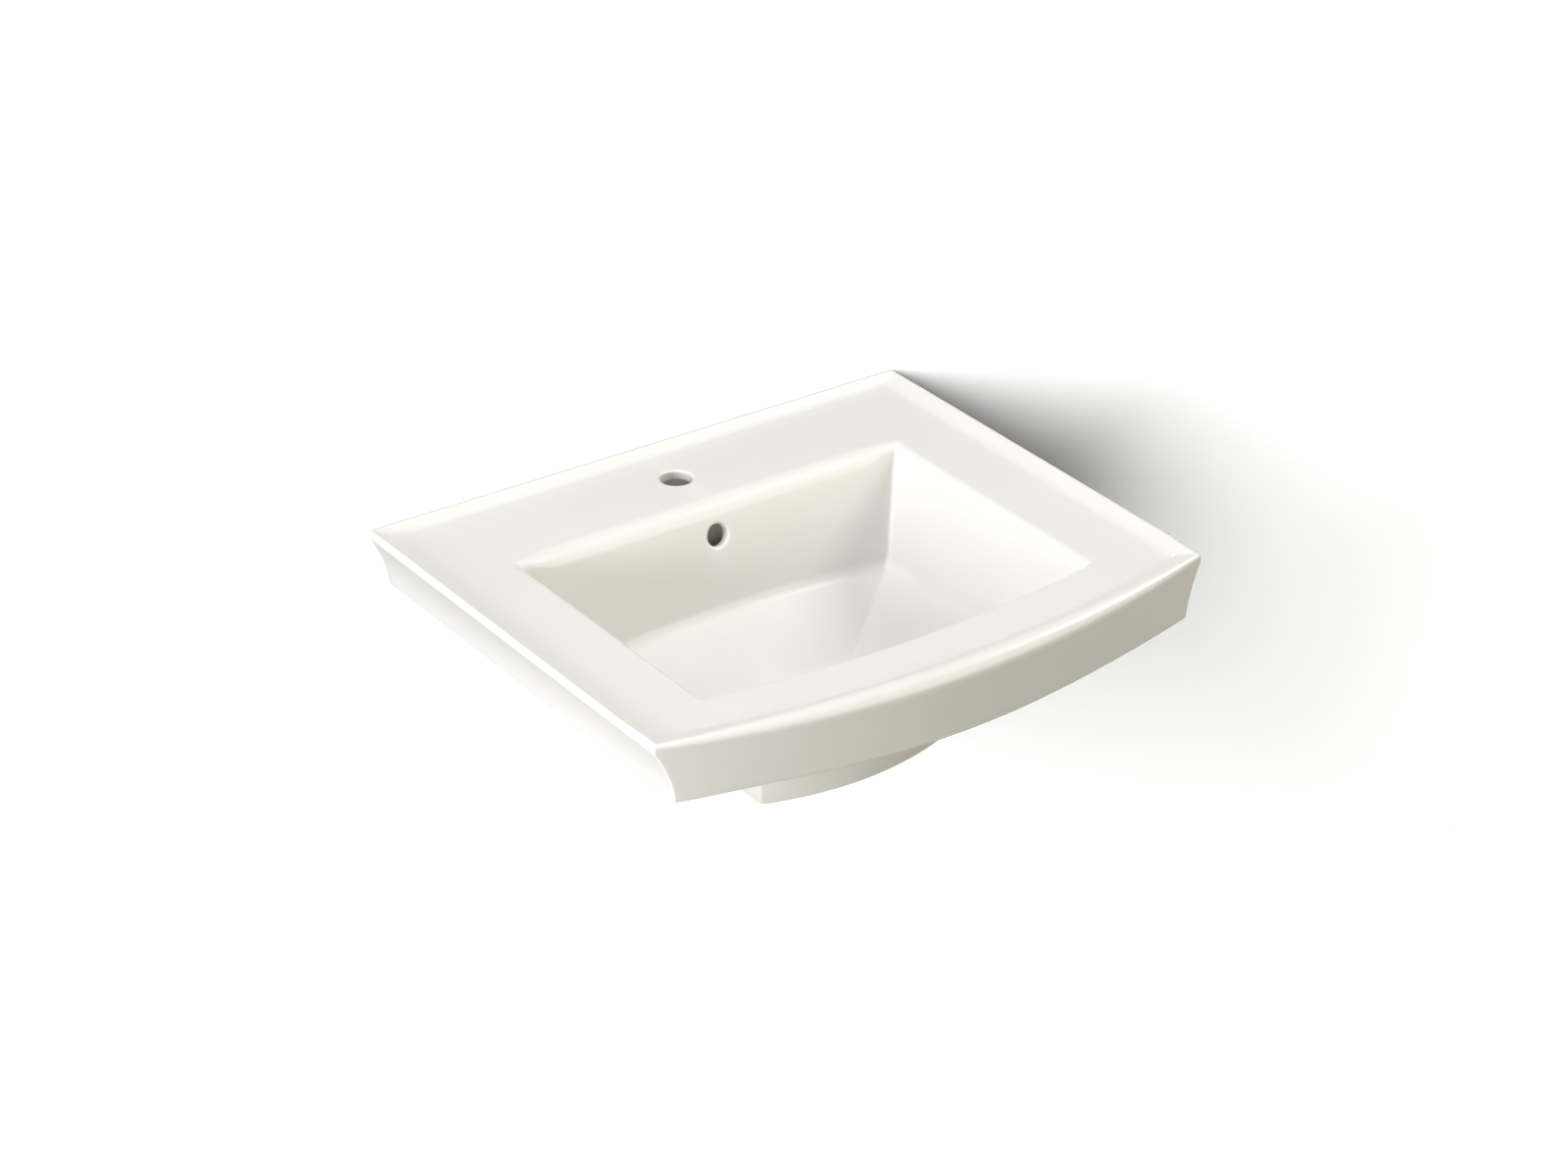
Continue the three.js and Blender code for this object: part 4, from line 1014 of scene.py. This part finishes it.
zinc = metal("zinc_steel", (0.66, 0.67, 0.68), (0.48, 0.47, 0.42), 0.30, Smooth=0.22, Rough=0.48,
             Tarnish_share=0.5, Stretch=1.0, Hairline_size=0.0010, Spot_size=0.004)
into_wall = Matrix(((1, 0, 0, 0), (0, 0, 1, 0), (0, -1, 0, 0), (0, 0, 0, 1)))
for side in ("left", "right"):
    low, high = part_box(f"{side}_hanger_bolt")
    at = Matrix.Translation(((low.x + high.x) / 2, 0, (low.z + high.z) / 2)) @ into_wall
    shank = (high.x - low.x) / 2
    plain_start, plain_end = -0.004, 0.010
    run = [(0, low.y, 0, 0), (shank - 0.0010, low.y, 0, 0), (shank, low.y + 0.0010, 0, 0)]
    machine = 0.00125
    steps = int((plain_start - low.y - 0.001) / machine * 5)
    run += [(shank, mix(low.y + 0.001, plain_start, (n + 1) / (steps + 1)), 0, 0) for n in range(steps)]
    run += [(shank, plain_start, 0, 0), (shank, plain_end, 0, 0)]
    coarse = 0.0032
    point = high.y - 0.009
    steps = int((high.y - plain_end) / coarse * 7)
    for n in range(steps):
        y = mix(plain_end, high.y - 0.0006, (n + 1) / (steps + 1))
        run.append((shank * min(1, (high.y - y) / (high.y - point)) ** 0.8, y, 0, 0))
    run.append((0, high.y, 0, 0))

    def bolt_thread(radius, y, angle):
        if low.y + 0.0012 < y < plain_start:
            groove = abs(2 * ((y / machine + angle / (2 * pi)) % 1) - 1)
            run_out = min((plain_start - y) / 0.0025, 1)
            return radius - 0.00065 * (1 - groove) * run_out, y
        if y > plain_end:
            phase = abs(2 * ((y / coarse + angle / (2 * pi)) % 1) - 1)
            run_out = min((y - plain_end) / 0.006, 1)
            return radius * (1 - 0.30 * run_out * (1 - max(phase - 0.55, 0) / 0.45)), y
        return radius, y

    bolt = lathe_solid(f"{side}_bolt", run, 40, at, bolt_thread)
    crisp_above(bolt, 50)
    dress(bolt, zinc, "hung_basin", "zinc_steel", f"{side}_hanger_bolt")
    hole = shank + 0.0003
    for node, paint, slot, soft in ((f"{side}_china_washer", rubber, "black_rubber", 0.0009),
                                    (f"{side}_steel_washer", zinc, "zinc_steel", 0.0004)):
        low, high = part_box(node)
        radius = (high.x - low.x) / 2
        washer = lathe(f"{node}_ring", [(hole, low.y, soft / 2, 2), (radius, low.y, soft, 4),
                                        (radius, high.y, soft, 4), (hole, high.y, soft / 2, 2)], 56, at)
        dress(washer, paint, "hung_basin", slot, node)
    low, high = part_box(f"{side}_hanger_nut")
    nut = hex_nut(f"{side}_nut", (high.z - low.z) / 2, hole, low.y, high.y, at, 72, 0.0008)
    crisp_above(nut, 30)
    dress(nut, zinc, "hung_basin", "zinc_steel", f"{side}_hanger_nut")
paint_node("return_spring", zinc)

# ---- Room ----
# The basin hangs on a plain white wall above a pale floor. The wall and the floor show only
# from the side that the basin is on. The wall takes a shadow but throws no light back.

scene = bpy.context.scene
scene.view_settings.view_transform = "Standard"


def plain_sheet(name, corners, bright, glow):
    """A one-sided sheet with a colour, and a glow that only the eye sees."""
    mesh = bmesh.new()
    mesh.faces.new([mesh.verts.new(spot) for spot in corners])
    bmesh.ops.subdivide_edges(mesh, edges=mesh.edges, cuts=7, use_grid_fill=True)
    sheet = finished(name, mesh)
    paint, tree, shader = new_material(name, Roughness=0.9, Specular_IOR_Level=0.0,
                                       Base_Color=(bright, bright, bright, 1), Emission_Color=(1, 1, 1, 1))
    seen = add(tree, "LightPath").outputs["Is Camera Ray"]
    tree.links.new(math(tree, "MULTIPLY", seen, glow), shader.inputs["Emission Strength"])
    clear = add(tree, "BsdfTransparent")
    either = add(tree, "MixShader", {0: add(tree, "NewGeometry").outputs["Backfacing"],
                                     1: shader.outputs[0], 2: clear.outputs[0]})
    tree.links.new(either.outputs[0], tree.nodes["Material Output"].inputs[0])
    sheet.data.materials.append(paint)
    return sheet


floor_level = rim_top - 0.86
wall_face, wall_top = 0.001, 4
reach = 6.0
wall = plain_sheet("wall", [(-reach, wall_face, floor_level), (reach, wall_face, floor_level),
                            (reach, wall_face, wall_top), (-reach, wall_face, wall_top)], 0.10, 0.04)
wall.visible_diffuse = wall.visible_glossy = wall.visible_shadow = wall.visible_transmission = False
plain_sheet("floor", [(-reach, -reach, floor_level), (reach, -reach, floor_level),
                      (reach, wall_face, floor_level), (-reach, wall_face, floor_level)], 0.45, 0.80)


def soft_light(name, kind, round_from_right, up, energy, tint=(1, 1, 1)):
    """A lamp 3 m from the basin and aimed at it, at angles in degrees: round in plan, where 90 is
    straight in front, and up."""
    lamp = bpy.data.lights.new(name, kind)
    lamp.energy = energy
    lamp.color = tint
    light = bpy.data.objects.new(name, lamp)
    turn, rise = radians(round_from_right), radians(up)
    heading = Vector((cos(rise) * cos(turn), -cos(rise) * sin(turn), sin(rise)))
    light.location = Vector((0, -0.25, 0)) + heading * 3
    light.rotation_euler = heading.to_track_quat("Z", "Y").to_euler()
    scene.collection.objects.link(light)
    return light


for name, turn, rise, size, watts, tint in (
        ("left_low", 168, 10, 1.0, 73, (0.974, 0.982, 1.0)),
        ("left_high", 178, 45, 1.4, 31, (0.887, 0.896, 1.0)),
        ("right_high", 14, 40, 1.0, 44, (1.0, 0.972, 0.932)),
        ("above", 178, 78, 1.2, 43, (0.983, 0.983, 1.0)),
        ("front_right", 60, 15, 1.3, 17.5, (1.0, 0.94, 0.703)),
        ("front_left", 135, 0, 1.2, 13.5, (1.0, 0.957, 0.833)),
        ("behind", 262, -6, 1.6, 26, (1.0, 0.98, 0.95))):
    soft_light(name, "AREA", turn, rise, watts, tint).data.size = size

# Two broad lights that reach only the wall give the basin's soft shadow.
wall_only = bpy.data.collections.new("lit_by_wall_lights")
wall_only.objects.link(wall)
for name, turn, rise, strength, spread in (("wall_light_low", 132, 17, 26, 22),
                                           ("wall_light_high", 171, 28, 96, 40)):
    light = soft_light(name, "SUN", turn, rise, strength)
    light.data.angle = radians(spread)
    light.light_linking.receiver_collection = wall_only

world = bpy.data.worlds.new("studio")
world.use_nodes = True
around, tree = world.node_tree.nodes["Background"], world.node_tree
around.inputs["Color"].default_value = (1, 1, 1, 1)
ray = add(tree, "LightPath")
shown = math(tree, "ADD", math(tree, "MULTIPLY", ray.outputs["Is Camera Ray"], 0.80),
             math(tree, "MULTIPLY", ray.outputs["Is Glossy Ray"], 0.40))
tree.links.new(math(tree, "ADD", shown, 0.05), around.inputs["Strength"])
scene.world = world

camera_data = bpy.data.cameras.new("camera")
camera_data.sensor_width = 36
camera_data.lens = 94.338
camera = bpy.data.objects.new("camera", camera_data)
camera.location = (-1.945, -3.0125, 1.8828)
camera.rotation_euler = (radians(90 - 28.62), 0, radians(-35.09))
scene.collection.objects.link(camera)
scene.camera = camera
